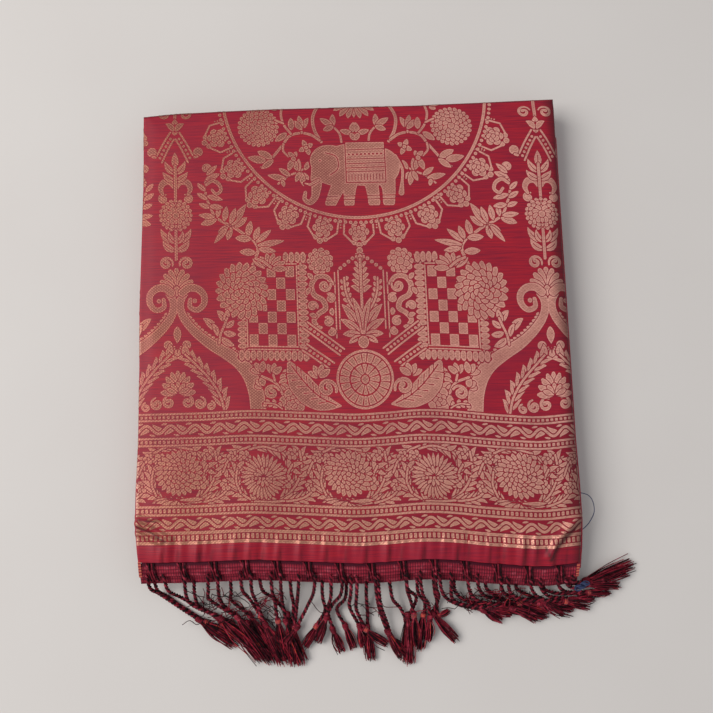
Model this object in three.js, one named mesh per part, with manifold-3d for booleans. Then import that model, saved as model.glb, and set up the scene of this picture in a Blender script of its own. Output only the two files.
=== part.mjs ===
// A saree folded into a flat block and laid on a surface, its brocade end on top and its fringe towards -Y.
// Millimetres, +Z up. The cloth is laid out about a point near the middle of the block, and the finished group
// is then moved so that the origin is at the bottom centre of the whole, fringe included.
import * as THREE from "three";
import { mergeVertices } from "three/addons/utils/BufferGeometryUtils.js";
import Module from "manifold-3d";

const wasm = await Module();
wasm.setup();

// Driving sizes
const FOLDED_WIDTH = 286; // a quarter of the 1145 mm loom width
const TOP_Z = 22.8; // outer face of the top layer above the surface
const CLOTH = 1.2; // wall that stands for a doubled, starched layer
const SEAM = 0.3; // clearance between neighbouring pieces
const LAYER_STEP = CLOTH + SEAM + 0.4; // from the top layer down to the one below it
const ROLL = 1.8; // outer radius of the side folds
const FAR_ROLL = 2.6; // outer radius of the far fold
const BUNDLE = 3.88; // thickness of one folded bundle in the stack
const FIELD_END = -57.4; // where the field meets the cross border
const BORDER_END = -143.6; // where the cross border meets the plain end
const HEM = -154.6; // where the plain end meets the heading
const HEADING = 9; // depth of the heading band
const UNDER_LAP = 4.2; // how far the layer below runs past the hem before its own heading starts
const LOWER_SHOW = 5.2; // how far the lower heading shows past the upper one
const CORD = 2.3; // thickness of a twisted cord
const UPPER_REST = 5.7; // middle of an upper cord, lying across the lower ones
const LOWER_REST = 2.45;

// How the side edges run from the hem to the far fold, seen from above: how far each stands out.
const SIDE_ROWS = [
  { y: -170, left: 0.2, right: 0.4 },
  { y: -152, left: 0.3, right: 0.8 },
  { y: -128, left: 2.4, right: 2.4 },
  { y: -105, left: 2.2, right: 2.0 },
  { y: -75, left: 1.0, right: 1.0 },
  { y: -25, left: 0.8, right: 0.5 },
  { y: 15, left: 1.3, right: 0.0 },
  { y: 55, left: 0.5, right: -0.5 },
  { y: 105, left: -0.4, right: -1.0 },
  { y: 157, left: 0.2, right: -1.2 },
];
// The far fold, from the left corner to the right one.
const FAR_ROWS = [
  { x: -144, y: 151.4 },
  { x: -120, y: 153.4 },
  { x: -60, y: 155.0 },
  { x: 50, y: 155.3 },
  { x: 144, y: 157.4 },
];
// How the fringe lies, by the place of a cord's root along the heading: the knee where it meets the surface and
// turns, and the tip of its tuft. Both are as seen from above in the plane of the top layer, and `settle` moves
// them out to where they lie. `tipZ` is the height of the tip's middle.
const FRINGE_ROWS = [
  { root: -140, kneeX: -115, kneeY: -182, tipX: -79, tipY: -205, tipZ: 2.8 },
  { root: -126, kneeX: -102, kneeY: -180, tipX: -67, tipY: -213, tipZ: 3.4 },
  { root: -98, kneeX: -81, kneeY: -182, tipX: -53, tipY: -217, tipZ: 3.4 },
  { root: -70, kneeX: -60, kneeY: -186, tipX: -41, tipY: -218, tipZ: 3.0 },
  { root: -46, kneeX: -42, kneeY: -187, tipX: -30, tipY: -210, tipZ: 2.8 },
  { root: -26, kneeX: -25, kneeY: -187, tipX: -14, tipY: -211, tipZ: 2.8 },
  { root: 4, kneeX: 5, kneeY: -187, tipX: 7, tipY: -216, tipZ: 2.8 },
  { root: 22, kneeX: 27, kneeY: -187, tipX: 31, tipY: -219, tipZ: 2.8 },
  { root: 36, kneeX: 40, kneeY: -185, tipX: 46, tipY: -206, tipZ: 3.4 },
  { root: 46, kneeX: 51, kneeY: -183, tipX: 62, tipY: -202, tipZ: 3.4 },
  { root: 55, kneeX: 65, kneeY: -180.5, tipX: 92, tipY: -192, tipZ: 5.3 },
  { root: 76, kneeX: 88, kneeY: -179.5, tipX: 116, tipY: -192, tipZ: 5.3 },
  { root: 104, kneeX: 117, kneeY: -179, tipX: 146, tipY: -186, tipZ: 5.5 },
  { root: 124, kneeX: 137, kneeY: -176, tipX: 165, tipY: -175, tipZ: 5.5 },
  { root: 140, kneeX: 151, kneeY: -172, tipX: 176, tipY: -157, tipZ: 3.6 },
];
const SEEN_FROM = { x: 6, y: -88, high: 529 }; // the place of the eye over the top layer
// The folded bundles of the stack from the bottom up: how far each edge is set in from the block's outline.
const BUNDLE_ROWS = [
  { left: 1.6, right: 2.6, far: 2.4, near: 4.5 },
  { left: 3.0, right: 1.4, far: 0.9, near: 7.0 },
  { left: 1.2, right: 2.2, far: 3.0, near: 5.0 },
  { left: 2.6, right: 0.9, far: 1.2, near: 8.0 },
  { left: 3.2, right: 2.4, far: 3.2, near: 9.5 },
];

// One column of a table, read at any place between its rows.
function read(rows, key, at, column) {
  let i = 0;
  while (i < rows.length - 2 && rows[i + 1][key] < at) i++;
  const share = (at - rows[i][key]) / (rows[i + 1][key] - rows[i][key]);
  return THREE.MathUtils.lerp(rows[i][column], rows[i + 1][column], THREE.MathUtils.clamp(share, 0, 1));
}
const leftEdge = (y) => -FOLDED_WIDTH / 2 - read(SIDE_ROWS, "y", y, "left");
const rightEdge = (y) => FOLDED_WIDTH / 2 + read(SIDE_ROWS, "y", y, "right");
const farEdge = (x) => read(FAR_ROWS, "x", x, "y");

// The weft lines run a little downhill to the right. Towards the hem they also sag and rise: how far a line of
// the cross border lies above its level, at places across the block.
const WEFT_SLOPE = -0.021;
const WEFT_ROWS = [
  { x: -145, rise: 2.8 },
  { x: -100, rise: 3.0 },
  { x: -68, rise: 3.7 },
  { x: -45, rise: 2.5 },
  { x: -20, rise: 1.0 },
  { x: 0, rise: -0.1 },
  { x: 20, rise: 0.6 },
  { x: 42, rise: 1.9 },
  { x: 60, rise: 1.1 },
  { x: 80, rise: -1.2 },
  { x: 100, rise: -3.1 },
  { x: 120, rise: -4.4 },
  { x: 145, rise: -2.6 },
];
const WAVES_FROM = 25; // no waves further back than this
const WAVES_FULL = -56; // and full ones from here to the hem
function weft(x, y) {
  const share = THREE.MathUtils.clamp((WAVES_FROM - y) / (WAVES_FROM - WAVES_FULL), 0, 1);
  return y + THREE.MathUtils.lerp(WEFT_SLOPE * x, read(WEFT_ROWS, "x", x, "rise"), share);
}

// Height of the top layer over its flat level: a low crown, long soft ripples, and short gathers by the
// heading.
const RIPPLE_ROWS = [
  { x: -122, wide: 15, high: 0.9 },
  { x: -66, wide: 26, high: 1.5 },
  { x: -6, wide: 13, high: 0.6 },
  { x: 42, wide: 24, high: 1.7 },
  { x: 82, wide: 9, high: 0.8 },
  { x: 112, wide: 14, high: 1.1 },
];
const GATHER_PITCH = 9.6;
const GATHER_HIGH = 0.45;
function rise(x, y) {
  const edge = Math.min(1, (FOLDED_WIDTH / 2 - Math.abs(x)) / 40, (150 - y) / 40);
  const crown = 1.1 * THREE.MathUtils.smoothstep(Math.max(edge, 0), 0, 1);
  const near = THREE.MathUtils.smoothstep(-y, 10, 150);
  const inside = THREE.MathUtils.smoothstep(FOLDED_WIDTH / 2 - Math.abs(x), 2, 12);
  let ripples = 0;
  for (const r of RIPPLE_ROWS) ripples += r.high * Math.exp(-(((x - r.x) / r.wide) ** 2));
  const gather = THREE.MathUtils.smoothstep(-y, 138, 148);
  const gathers = GATHER_HIGH * (1 + Math.cos((2 * Math.PI * x) / GATHER_PITCH + Math.sin(x / 17)));
  return crown + inside * (near * ripples + gather * gathers);
}
// Past the stack the cloth hangs down towards the surface.
const DROOP_START = -141;
const DROOP_RATE = 0.0118;
const droop = (y) => DROOP_RATE * Math.min(0, y - DROOP_START) ** 2;

// A diagonal tuck pinched into each front corner: it stands up along a line that runs from `from` to `to`.
const TUCKS = [
  { from: [118, -156], to: [146, -122], wide: 3.2, high: 1.6 },
  { from: [-112, -138], to: [-146, -124], wide: 3.0, high: 1.3 },
];
function tuck(x, y) {
  let high = 0;
  for (const t of TUCKS) {
    const line = new THREE.Line3(new THREE.Vector3(...t.from, 0), new THREE.Vector3(...t.to, 0));
    const here = new THREE.Vector3(x, y, 0);
    const near = line.closestPointToPoint(here, true, new THREE.Vector3());
    high += t.high * Math.exp(-((near.distanceTo(here) / t.wide) ** 2));
  }
  return high;
}

// A place on the top layer's outer face (depth 0) or further in. `across` and `along` are measured on the
// cloth, so past a fold's start they run round it.
const FAR_TURN = 1.9; // radians of the far fold that the top layer covers
function onCloth(across, along, depth) {
  const low = leftEdge(along) + ROLL;
  const high = rightEdge(along) - ROLL;
  const x = THREE.MathUtils.clamp(across, low, high);
  const far = farEdge(x) - FAR_ROLL;
  const y = Math.min(along, far);
  const side = (across - x) / ROLL;
  const back = (along - y) / FAR_ROLL;
  const inner = ROLL - depth;
  const innerFar = FAR_ROLL - depth;
  const level = TOP_Z + rise(x, y) + tuck(x, y) - droop(y);
  const fall = Math.max(inner * (1 - Math.cos(side)), innerFar * (1 - Math.cos(back)));
  return new THREE.Vector3(x + inner * Math.sin(side), y + innerFar * Math.sin(back), level - depth - fall);
}

// A closed wall between an outer and an inner grid of points, given as functions of column and row.
function wall(columns, rows, outer, inner) {
  const position = [];
  const index = [];
  for (const face of [outer, inner])
    for (let j = 0; j < rows; j++) for (let i = 0; i < columns; i++) position.push(...face(i, j).toArray());
  const at = (i, j, k) => k * columns * rows + j * columns + i;
  const quad = (a, b, c, d) => index.push(a, b, c, a, c, d);
  for (let j = 0; j < rows - 1; j++)
    for (let i = 0; i < columns - 1; i++) {
      quad(at(i, j, 0), at(i + 1, j, 0), at(i + 1, j + 1, 0), at(i, j + 1, 0));
      quad(at(i, j, 1), at(i, j + 1, 1), at(i + 1, j + 1, 1), at(i + 1, j, 1));
    }
  for (let i = 0; i < columns - 1; i++) {
    quad(at(i, 0, 0), at(i, 0, 1), at(i + 1, 0, 1), at(i + 1, 0, 0));
    quad(at(i + 1, rows - 1, 0), at(i + 1, rows - 1, 1), at(i, rows - 1, 1), at(i, rows - 1, 0));
  }
  for (let j = 0; j < rows - 1; j++) {
    quad(at(0, j + 1, 0), at(0, j + 1, 1), at(0, j, 1), at(0, j, 0));
    const last = columns - 1;
    quad(at(last, j, 0), at(last, j, 1), at(last, j + 1, 1), at(last, j + 1, 0));
  }
  return new THREE.BufferGeometry()
    .setAttribute("position", new THREE.Float32BufferAttribute(position, 3))
    .setIndex(index);
}

const SIDE_STEPS = 4;
const LEFT_TURN = 2.5; // radians that the left fold turns round
const RIGHT_TURN = 1.45; // and the right one, which stands on the layer below
const CORNER_TURN = 1.2; // and both at the far corners, where the far fold takes over

// The columns of a stretch: round the left fold, across the flat, round the right fold.
function columnsAt(y, flatSteps) {
  const low = leftEdge(y) + ROLL;
  const high = rightEdge(y) - ROLL;
  const corner = THREE.MathUtils.smoothstep(y, 138, 150);
  const left = ROLL * THREE.MathUtils.lerp(LEFT_TURN, CORNER_TURN, corner);
  const right = ROLL * THREE.MathUtils.lerp(RIGHT_TURN, CORNER_TURN, corner);
  const columns = [];
  for (let i = SIDE_STEPS; i > 0; i--) columns.push(low - (left * i) / SIDE_STEPS);
  for (let i = 0; i <= flatSteps; i++) columns.push(THREE.MathUtils.lerp(low, high, i / flatSteps));
  for (let i = 1; i <= SIDE_STEPS; i++) columns.push(high + (right * i) / SIDE_STEPS);
  return columns;
}

// One stretch of the top layer, between two lines along the weft.
function stretch(from, to, rowCount, flatSteps, overFarFold = false) {
  const columnCount = flatSteps + 1 + 2 * SIDE_STEPS;
  const place = (depth) => (i, j) => {
    const share = j / (rowCount - 1);
    const nominal = from + (to - from) * Math.min(1, share);
    const across = columnsAt(nominal, flatSteps)[i];
    const x = THREE.MathUtils.clamp(across, -FOLDED_WIDTH / 2, FOLDED_WIDTH / 2);
    let along;
    if (overFarFold) {
      const start = weft(x, from);
      const end = farEdge(x) - FAR_ROLL;
      const flatRows = rowCount - 1 - SIDE_STEPS;
      along =
        j <= flatRows
          ? start + ((end - start) * j) / flatRows
          : end + (FAR_ROLL * FAR_TURN * (j - flatRows)) / SIDE_STEPS;
    } else along = THREE.MathUtils.lerp(weft(x, from), weft(x, to), share);
    return onCloth(columnsAt(along, flatSteps)[i], along, depth);
  };
  return wall(columnCount, rowCount, place(0), place(CLOTH));
}

// The hidden layers: one solid whose sides bulge at each folded bundle.
const RING_END = 68; // degrees, at a bundle's upper and lower faces
const RING_ANGLES = [-RING_END, -28, 28, RING_END];
const EDGE_POINTS = 9;
const CORNER_POINTS = 4;
const STACK_CORNER = 5;
const NEAR_EDGE = -147;
const SWAY = 0.7; // how unevenly the edge of a bundle runs
function stackRing(bundle, bulge, z, k) {
  const inset = BUNDLE / 2 - bulge;
  const low = leftEdge(0) + bundle.left + inset;
  const high = rightEdge(0) - bundle.right - inset;
  const near = NEAR_EDGE + bundle.near + inset;
  const points = [];
  const corner = STACK_CORNER - inset;
  const shape = [
    { cx: high - corner, far: true, start: 0 },
    { cx: low + corner, far: true, start: 90 },
    { cx: low + corner, far: false, start: 180 },
    { cx: high - corner, far: false, start: 270 },
  ];
  for (const [n, c] of shape.entries()) {
    const cy = c.far ? farEdge(c.cx) - bundle.far - inset - corner : near + corner;
    for (let i = 0; i < CORNER_POINTS; i++) {
      const angle = THREE.MathUtils.degToRad(c.start + (90 * i) / (CORNER_POINTS - 1));
      points.push([c.cx + corner * Math.cos(angle), cy + corner * Math.sin(angle)]);
    }
    const next = shape[(n + 1) % shape.length];
    const nextY = next.far ? farEdge(next.cx) - bundle.far - inset - corner : near + corner;
    const startAngle = THREE.MathUtils.degToRad(next.start);
    const from = points[points.length - 1];
    const to = [next.cx + corner * Math.cos(startAngle), nextY + corner * Math.sin(startAngle)];
    const along = Math.hypot(to[0] - from[0], to[1] - from[1]);
    for (let i = 1; i < EDGE_POINTS; i++) {
      const s = i / EDGE_POINTS;
      const sway = SWAY * Math.sin(Math.PI * s) * Math.sin(s * 7 + 2.1 * k + n);
      const normal = [(to[1] - from[1]) / along, -(to[0] - from[0]) / along];
      points.push([
        THREE.MathUtils.lerp(from[0], to[0], s) + normal[0] * sway,
        THREE.MathUtils.lerp(from[1], to[1], s) + normal[1] * sway,
      ]);
    }
  }
  return points.map(([x, y]) => new THREE.Vector3(x, y, z));
}
function foldedStack() {
  const rings = [];
  BUNDLE_ROWS.forEach((bundle, k) => {
    for (const degrees of RING_ANGLES) {
      const angle = THREE.MathUtils.degToRad(degrees);
      const end = THREE.MathUtils.degToRad(RING_END);
      const z = BUNDLE * (k + 0.5 + Math.sin(angle) / (2 * Math.sin(end)));
      rings.push(stackRing(bundle, (BUNDLE / 2) * Math.cos(angle), z, k));
    }
  });
  // Each bundle meets the next at one height, so its last ring and the next one's first are held apart.
  for (let r = RING_ANGLES.length; r < rings.length; r += RING_ANGLES.length) {
    for (const p of rings[r]) p.z += 0.15;
    for (const p of rings[r - 1]) p.z -= 0.15;
  }
  const count = rings[0].length;
  const position = rings.flat().flatMap((p) => p.toArray());
  const index = [];
  for (let r = 0; r < rings.length - 1; r++)
    for (let i = 0; i < count; i++) {
      const j = (i + 1) % count;
      const a = r * count;
      const b = a + count;
      index.push(a + i, a + j, b + j, a + i, b + j, b + i);
    }
  const under = position.length / 3;
  position.push(0, 0, rings[0][0].z, 0, 0, rings[rings.length - 1][0].z);
  const last = (rings.length - 1) * count;
  for (let i = 0; i < count; i++) {
    const j = (i + 1) % count;
    index.push(under, j, i, under + 1, last + i, last + j);
  }
  return new THREE.BufferGeometry()
    .setAttribute("position", new THREE.Float32BufferAttribute(position, 3))
    .setIndex(index);
}

// The layer under the pallu: it shows 1.3 mm past the right fold and under the hem.
const UNDER_SHOW = 1.3;
const UNDER_SHOW_FROM = 134; // no further back than this
const UNDER_STEPS = 30;
const UNDER_ROWS = 22;
const UNDER_Z = TOP_Z - LAYER_STEP;
function underTurn() {
  const near = HEM - UNDER_LAP;
  const place = (z) => (i, j) => {
    const share = j / (UNDER_ROWS - 1);
    const y = near + (UNDER_SHOW_FROM + 14 - near) * share;
    const low = leftEdge(y) + 2.2;
    const shows = THREE.MathUtils.smoothstep(UNDER_SHOW_FROM - y, 0, 5);
    const high = rightEdge(y) + THREE.MathUtils.lerp(-2.2, UNDER_SHOW, shows);
    const x = THREE.MathUtils.lerp(low, high, i / UNDER_STEPS);
    const along = y + (weft(x, near) - near) * (1 - share) ** 4;
    return new THREE.Vector3(x, along, z - droop(along));
  };
  return wall(UNDER_STEPS + 1, UNDER_ROWS, place(UNDER_Z), place(UNDER_Z - CLOTH));
}

// A manifold-3d solid from a closed geometry.
function solidOf(geometry) {
  const bare = geometry.clone();
  bare.deleteAttribute("normal");
  bare.deleteAttribute("uv");
  const merged = mergeVertices(bare, 1e-4);
  const mesh = new wasm.Mesh({
    numProp: 3,
    vertProperties: new Float32Array(merged.attributes.position.array),
    triVerts: new Uint32Array(merged.index.array),
  });
  return new wasm.Manifold(mesh);
}
function geometryOf(solid) {
  const mesh = solid.getMesh();
  return new THREE.BufferGeometry()
    .setAttribute("position", new THREE.BufferAttribute(new Float32Array(mesh.vertProperties), 3))
    .setIndex(new THREE.BufferAttribute(new Uint32Array(mesh.triVerts), 1));
}

// Thickness along a cord, by the share of its length: twisted shank, knot, and the tuft that opens from it.
const SHANK_ROWS = [
  { at: 0, wide: 1, high: 1 },
  { at: 0.6, wide: 1, high: 1 },
  { at: 0.66, wide: 1.3, high: 1.2 },
  { at: 0.72, wide: 0.95, high: 0.9 },
  { at: 1, wide: 1.8, high: 0.65 },
];
const CORD_STEPS = 13;

// Where a place seen in the plane of the top layer lies when it is at height z.
function settle(x, y, z) {
  const spread = 1 + (TOP_Z - z) / SEEN_FROM.high;
  const moved = (to, eye) => eye + (to - eye) * spread;
  return new THREE.Vector3(moved(x, SEEN_FROM.x), moved(y, SEEN_FROM.y), z);
}

// The middle line of the cord rooted at x on a heading whose lower edge is at `edge` and `topZ`. It hangs down
// to its resting height, turns at the knee, and runs the given share of the way to the tip.
function cordPath(x, edge, topZ, hang, restZ, tipZ, share) {
  const row = (column) => read(FRINGE_ROWS, "root", x, column);
  const knee = settle(row("kneeX"), row("kneeY"), restZ);
  const tip = settle(row("tipX"), row("tipY"), tipZ);
  const root = new THREE.Vector3(x, edge, topZ);
  const hangX = THREE.MathUtils.lerp(x, knee.x, 0.25);
  const hangY = THREE.MathUtils.lerp(edge, knee.y, hang.share);
  const hanging = new THREE.Vector3(hangX, hangY, topZ - hang.fall);
  const lying = knee.clone().lerp(tip, 0.5).setZ(restZ);
  const curve = new THREE.CatmullRomCurve3([root, hanging, knee, lying, tip]);
  const points = [];
  for (let i = 0; i <= CORD_STEPS; i++) points.push(curve.getPointAt((share * i) / CORD_STEPS));
  return points;
}

// A four-sided strand along points, as a solid. Its first ring lies inside the backing.
function strand(points) {
  const position = [];
  const index = [];
  const up = new THREE.Vector3(0, 0, 1);
  points.forEach((p, i) => {
    const before = points[Math.max(i - 1, 0)];
    const after = points[Math.min(i + 1, points.length - 1)];
    const way = after.clone().sub(before).normalize();
    const side = way.clone().cross(up).normalize();
    const top = side.clone().cross(way).normalize();
    const share = i / (points.length - 1);
    const wide = (CORD / 2) * read(SHANK_ROWS, "at", share, "wide");
    const high = (CORD / 2) * read(SHANK_ROWS, "at", share, "high");
    const corners = [
      p.clone().addScaledVector(side, wide),
      p.clone().addScaledVector(top, high),
      p.clone().addScaledVector(side, -wide),
      p.clone().addScaledVector(top, -high),
    ];
    for (const c of corners) position.push(...c.toArray());
  });
  const rings = points.length;
  for (let r = 0; r < rings - 1; r++)
    for (let i = 0; i < 4; i++) {
      const j = (i + 1) % 4;
      const a = r * 4;
      const b = a + 4;
      index.push(a + i, b + i, b + j, a + i, b + j, a + j);
    }
  const last = (rings - 1) * 4;
  index.push(0, 1, 2, 0, 2, 3, last, last + 2, last + 1, last, last + 3, last + 2);
  return solidOf(
    new THREE.BufferGeometry()
      .setAttribute("position", new THREE.Float32BufferAttribute(position, 3))
      .setIndex(index),
  );
}

// A heading band. `level` is the height of its outer face before it hangs down.
const BAND_STEPS = UNDER_STEPS;
const BAND_ROWS = 3;
function headingBand(start, depth, level) {
  const place = (under) => (i, j) => {
    const y = start - depth * (1 - j / (BAND_ROWS - 1));
    const x = THREE.MathUtils.lerp(leftEdge(y) + 0.4, rightEdge(y) - 0.4, i / BAND_STEPS);
    const along = weft(x, y);
    return new THREE.Vector3(x, along, level - droop(along) - under);
  };
  return solidOf(wall(BAND_STEPS + 1, BAND_ROWS, place(0), place(CLOTH)));
}

// A heading with its cords: `sides` places the cords about the middle of each loop of warp ends.
const LOOPS = 14;
const LOOP_PITCH = 20.4;
const FIRST_LOOP = -135.2;
const ROOT_DEPTH = 1.5; // how far a cord runs up into the heading
function fringe({ start, depth, level, sides, hang, restZ, tipZ, share }) {
  let solid = headingBand(start, depth, level);
  for (let n = 0; n < LOOPS; n++)
    for (const side of sides) {
      const x = FIRST_LOOP + n * LOOP_PITCH + side;
      const edge = weft(x, start - depth) + ROOT_DEPTH;
      const topZ = level - droop(edge) - CLOTH / 2;
      const tip = tipZ ?? read(FRINGE_ROWS, "root", x, "tipZ");
      const uneven = share * (0.985 + 0.015 * Math.sin(5 * n + side));
      solid = solid.add(strand(cordPath(x, edge, topZ, hang, restZ, tip, uneven)));
    }
  return geometryOf(solid);
}
const upperFringe = {
  start: HEM - SEAM,
  depth: HEADING,
  level: TOP_Z + GATHER_HIGH,
  sides: [-5.1, 5.1],
  hang: { share: 0.65, fall: 3.2 },
  restZ: UPPER_REST,
  share: 1,
};
const lowerFringe = {
  start: HEM - UNDER_LAP - SEAM,
  depth: HEADING + LOWER_SHOW - UNDER_LAP,
  level: UNDER_Z,
  sides: [0],
  hang: { share: 0.5, fall: 4.6 },
  restZ: LOWER_REST,
  tipZ: LOWER_REST,
  share: 0.72,
};

// Finishes
const silk = (hex, roughness) => new THREE.MeshStandardMaterial({ color: hex, roughness, metalness: 0 });
const crimson = silk(0x9c2236, 0.5);
const brocade = new THREE.MeshStandardMaterial({ color: 0xb06a5a, roughness: 0.42, metalness: 0.35 });
const maroon = silk(0x5a1a2c, 0.6);

const FLAT_STEPS = 24;
const pieces = [
  ["folded_stack", foldedStack(), crimson],
  ["under_turn", underTurn(), crimson],
  ["pallu_field", stretch(FIELD_END, 158, 20 + SIDE_STEPS, FLAT_STEPS, true), brocade],
  ["pallu_border", stretch(BORDER_END, FIELD_END - SEAM, 9, FLAT_STEPS), brocade],
  ["plain_end", stretch(HEM, BORDER_END - SEAM, 3, 2 * FLAT_STEPS), crimson],
  ["fringe_upper", fringe(upperFringe), maroon],
  ["fringe_lower", fringe(lowerFringe), maroon],
];
const saree = new THREE.Group();
for (const [name, geometry, material] of pieces) {
  geometry.computeVertexNormals();
  const mesh = new THREE.Mesh(geometry, material);
  mesh.name = name;
  saree.add(mesh);
}

// The origin is under the middle of the whole piece, on the surface that it lies on.
const box = new THREE.Box3().setFromObject(saree);
saree.position.set(-(box.min.x + box.max.x) / 2, -(box.min.y + box.max.y) / 2, -box.min.z);

export default saree;
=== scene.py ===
import bpy
import math
import numpy as np
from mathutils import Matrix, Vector


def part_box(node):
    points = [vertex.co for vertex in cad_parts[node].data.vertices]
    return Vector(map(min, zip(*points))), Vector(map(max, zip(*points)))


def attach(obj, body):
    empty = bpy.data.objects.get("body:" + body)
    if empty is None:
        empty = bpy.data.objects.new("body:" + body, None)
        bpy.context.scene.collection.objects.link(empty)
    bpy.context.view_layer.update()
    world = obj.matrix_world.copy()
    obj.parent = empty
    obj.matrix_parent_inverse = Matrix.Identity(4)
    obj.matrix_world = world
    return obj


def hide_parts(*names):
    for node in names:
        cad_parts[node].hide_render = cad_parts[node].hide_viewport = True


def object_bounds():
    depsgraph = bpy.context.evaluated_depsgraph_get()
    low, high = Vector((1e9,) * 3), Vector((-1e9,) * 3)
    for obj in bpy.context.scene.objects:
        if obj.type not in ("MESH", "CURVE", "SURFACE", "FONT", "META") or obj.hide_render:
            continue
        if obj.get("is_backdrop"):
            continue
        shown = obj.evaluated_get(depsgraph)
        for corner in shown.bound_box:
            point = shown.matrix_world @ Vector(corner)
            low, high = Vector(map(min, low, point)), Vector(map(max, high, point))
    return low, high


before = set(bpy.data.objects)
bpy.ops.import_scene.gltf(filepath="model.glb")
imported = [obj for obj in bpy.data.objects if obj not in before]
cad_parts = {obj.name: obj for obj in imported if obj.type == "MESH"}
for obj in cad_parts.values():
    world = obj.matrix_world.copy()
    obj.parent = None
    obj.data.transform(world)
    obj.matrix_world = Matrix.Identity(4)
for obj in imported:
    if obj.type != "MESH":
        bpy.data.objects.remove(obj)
cad_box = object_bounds()

# The place where the saree lies, seen as in the photograph: the camera looks almost straight down from arm's
# length, on to a pale sheet of paper, in soft daylight that comes from a window at the upper left.
MM = 0.001
LEFT_OF_STACK = -143.3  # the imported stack's low X, by the measure in which the cloth is laid out below
FAR_OF_FIELD = 157.29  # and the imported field's high Y
block_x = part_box("folded_stack")[0][0] / MM - LEFT_OF_STACK
block_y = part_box("pallu_field")[1][1] / MM - FAR_OF_FIELD
TOP_Z = 22.8  # outer face of the top layer above the paper


def to_frame(points):
    """Millimetres on the laid-out block, as metres in the frame."""
    return (np.asarray(points, float) + (block_x, block_y, 0.0)) * MM


EYE = (5.94, -87.6, TOP_Z + 528.87)
EYE_TURN = (7.255, 0.616, -1.196)
eye = bpy.data.cameras.new("eye")
eye.lens = 40.39
eye.sensor_width = 36.0
eye.clip_start = 0.01
eye_object = bpy.data.objects.new("eye", eye)
eye_object.location = to_frame(EYE)
eye_object.rotation_euler = [math.radians(a) for a in EYE_TURN]
bpy.context.collection.objects.link(eye_object)
bpy.context.scene.camera = eye_object
bpy.context.scene.view_settings.view_transform = "Standard"

PAPER_HALF = 3.0
PAPER_BELOW = 0.2
paper = bpy.data.meshes.new("paper")
paper_corners = [(x * PAPER_HALF, y * PAPER_HALF, 0) for x, y in ((-1, -1), (1, -1), (1, 1), (-1, 1))]
paper.from_pydata(paper_corners, [], [(0, 1, 2, 3)])
paper_object = bpy.data.objects.new("paper", paper)
paper_object.location.z = -PAPER_BELOW * MM
bpy.context.collection.objects.link(paper_object)
paper_object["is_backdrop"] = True


def srgb(red, green, blue):
    """A colour picked on the screen, 0 to 255, as the linear one that a shader needs."""
    linear = [c / 3294.6 if c <= 10 else ((c / 255 + 0.055) / 1.055) ** 2.4 for c in (red, green, blue)]
    return (*linear, 1.0)


def set_up(tree, made, settings):
    """Each setting is a property of the node, or the value of an input, or a socket that feeds the input."""
    for name, value in settings.items():
        if hasattr(made, name):
            setattr(made, name, value)
        elif isinstance(value, bpy.types.NodeSocket):
            tree.links.new(value, made.inputs[name.replace("_", " ")])
        else:
            made.inputs[name.replace("_", " ")].default_value = value


def node(tree, kind, **settings):
    made = tree.nodes.new(kind)
    set_up(tree, made, settings)
    return made


def coat(tree, **settings):
    """Sets up the Principled shader of a material."""
    set_up(tree, tree.nodes["Principled BSDF"], settings)


def finish_of(name, **settings):
    """A material with a Principled shader set as asked, and its tree."""
    material = bpy.data.materials.new(name)
    material.use_nodes = True
    coat(material.node_tree, **settings)
    return material, material.node_tree


def on_object(tree):
    """The place on a piece, in metres."""
    return node(tree, "ShaderNodeTexCoord").outputs["Object"]


def noise(tree, scale, detail, place=None, **settings):
    """Cloudy noise, from 0 to 1."""
    place = on_object(tree) if place is None else place
    made = node(tree, "ShaderNodeTexNoise", Vector=place, Scale=scale, Detail=detail, **settings)
    return made.outputs["Fac"]


def mix_colour(tree, share, low, high):
    """A colour between two, by a share that comes from a socket."""
    mix = node(tree, "ShaderNodeMix", data_type="RGBA", Factor=share)
    for socket, colour in ((mix.inputs[6], low), (mix.inputs[7], high)):
        if isinstance(colour, tuple):
            socket.default_value = colour
        else:
            tree.links.new(colour, socket)
    return mix.outputs[2]


paper_finish, tree = finish_of("pale_paper", Roughness=0.85)
coat(tree, Base_Color=mix_colour(tree, noise(tree, 9.0, 3.0), srgb(214, 208, 203), srgb(219, 214, 209)))
paper.materials.append(paper_finish)

WINDOW_AT = (-1.7, 0.3, 1.9)
window = bpy.data.lights.new("window", "AREA")
window.shape = "SQUARE"
window.size = 1.7
window.energy = 48.5
window.color = (1.0, 0.985, 0.965)
window_object = bpy.data.objects.new("window", window)
window_object.location = WINDOW_AT
window_object.rotation_euler = (-Vector(WINDOW_AT)).to_track_quat("-Z", "Y").to_euler()
bpy.context.collection.objects.link(window_object)
room = bpy.data.worlds.new("room")
room.use_nodes = True
room.node_tree.nodes["Background"].inputs["Color"].default_value = srgb(236, 238, 243)
room.node_tree.nodes["Background"].inputs["Strength"].default_value = 0.49
bpy.context.scene.world = room

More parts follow.
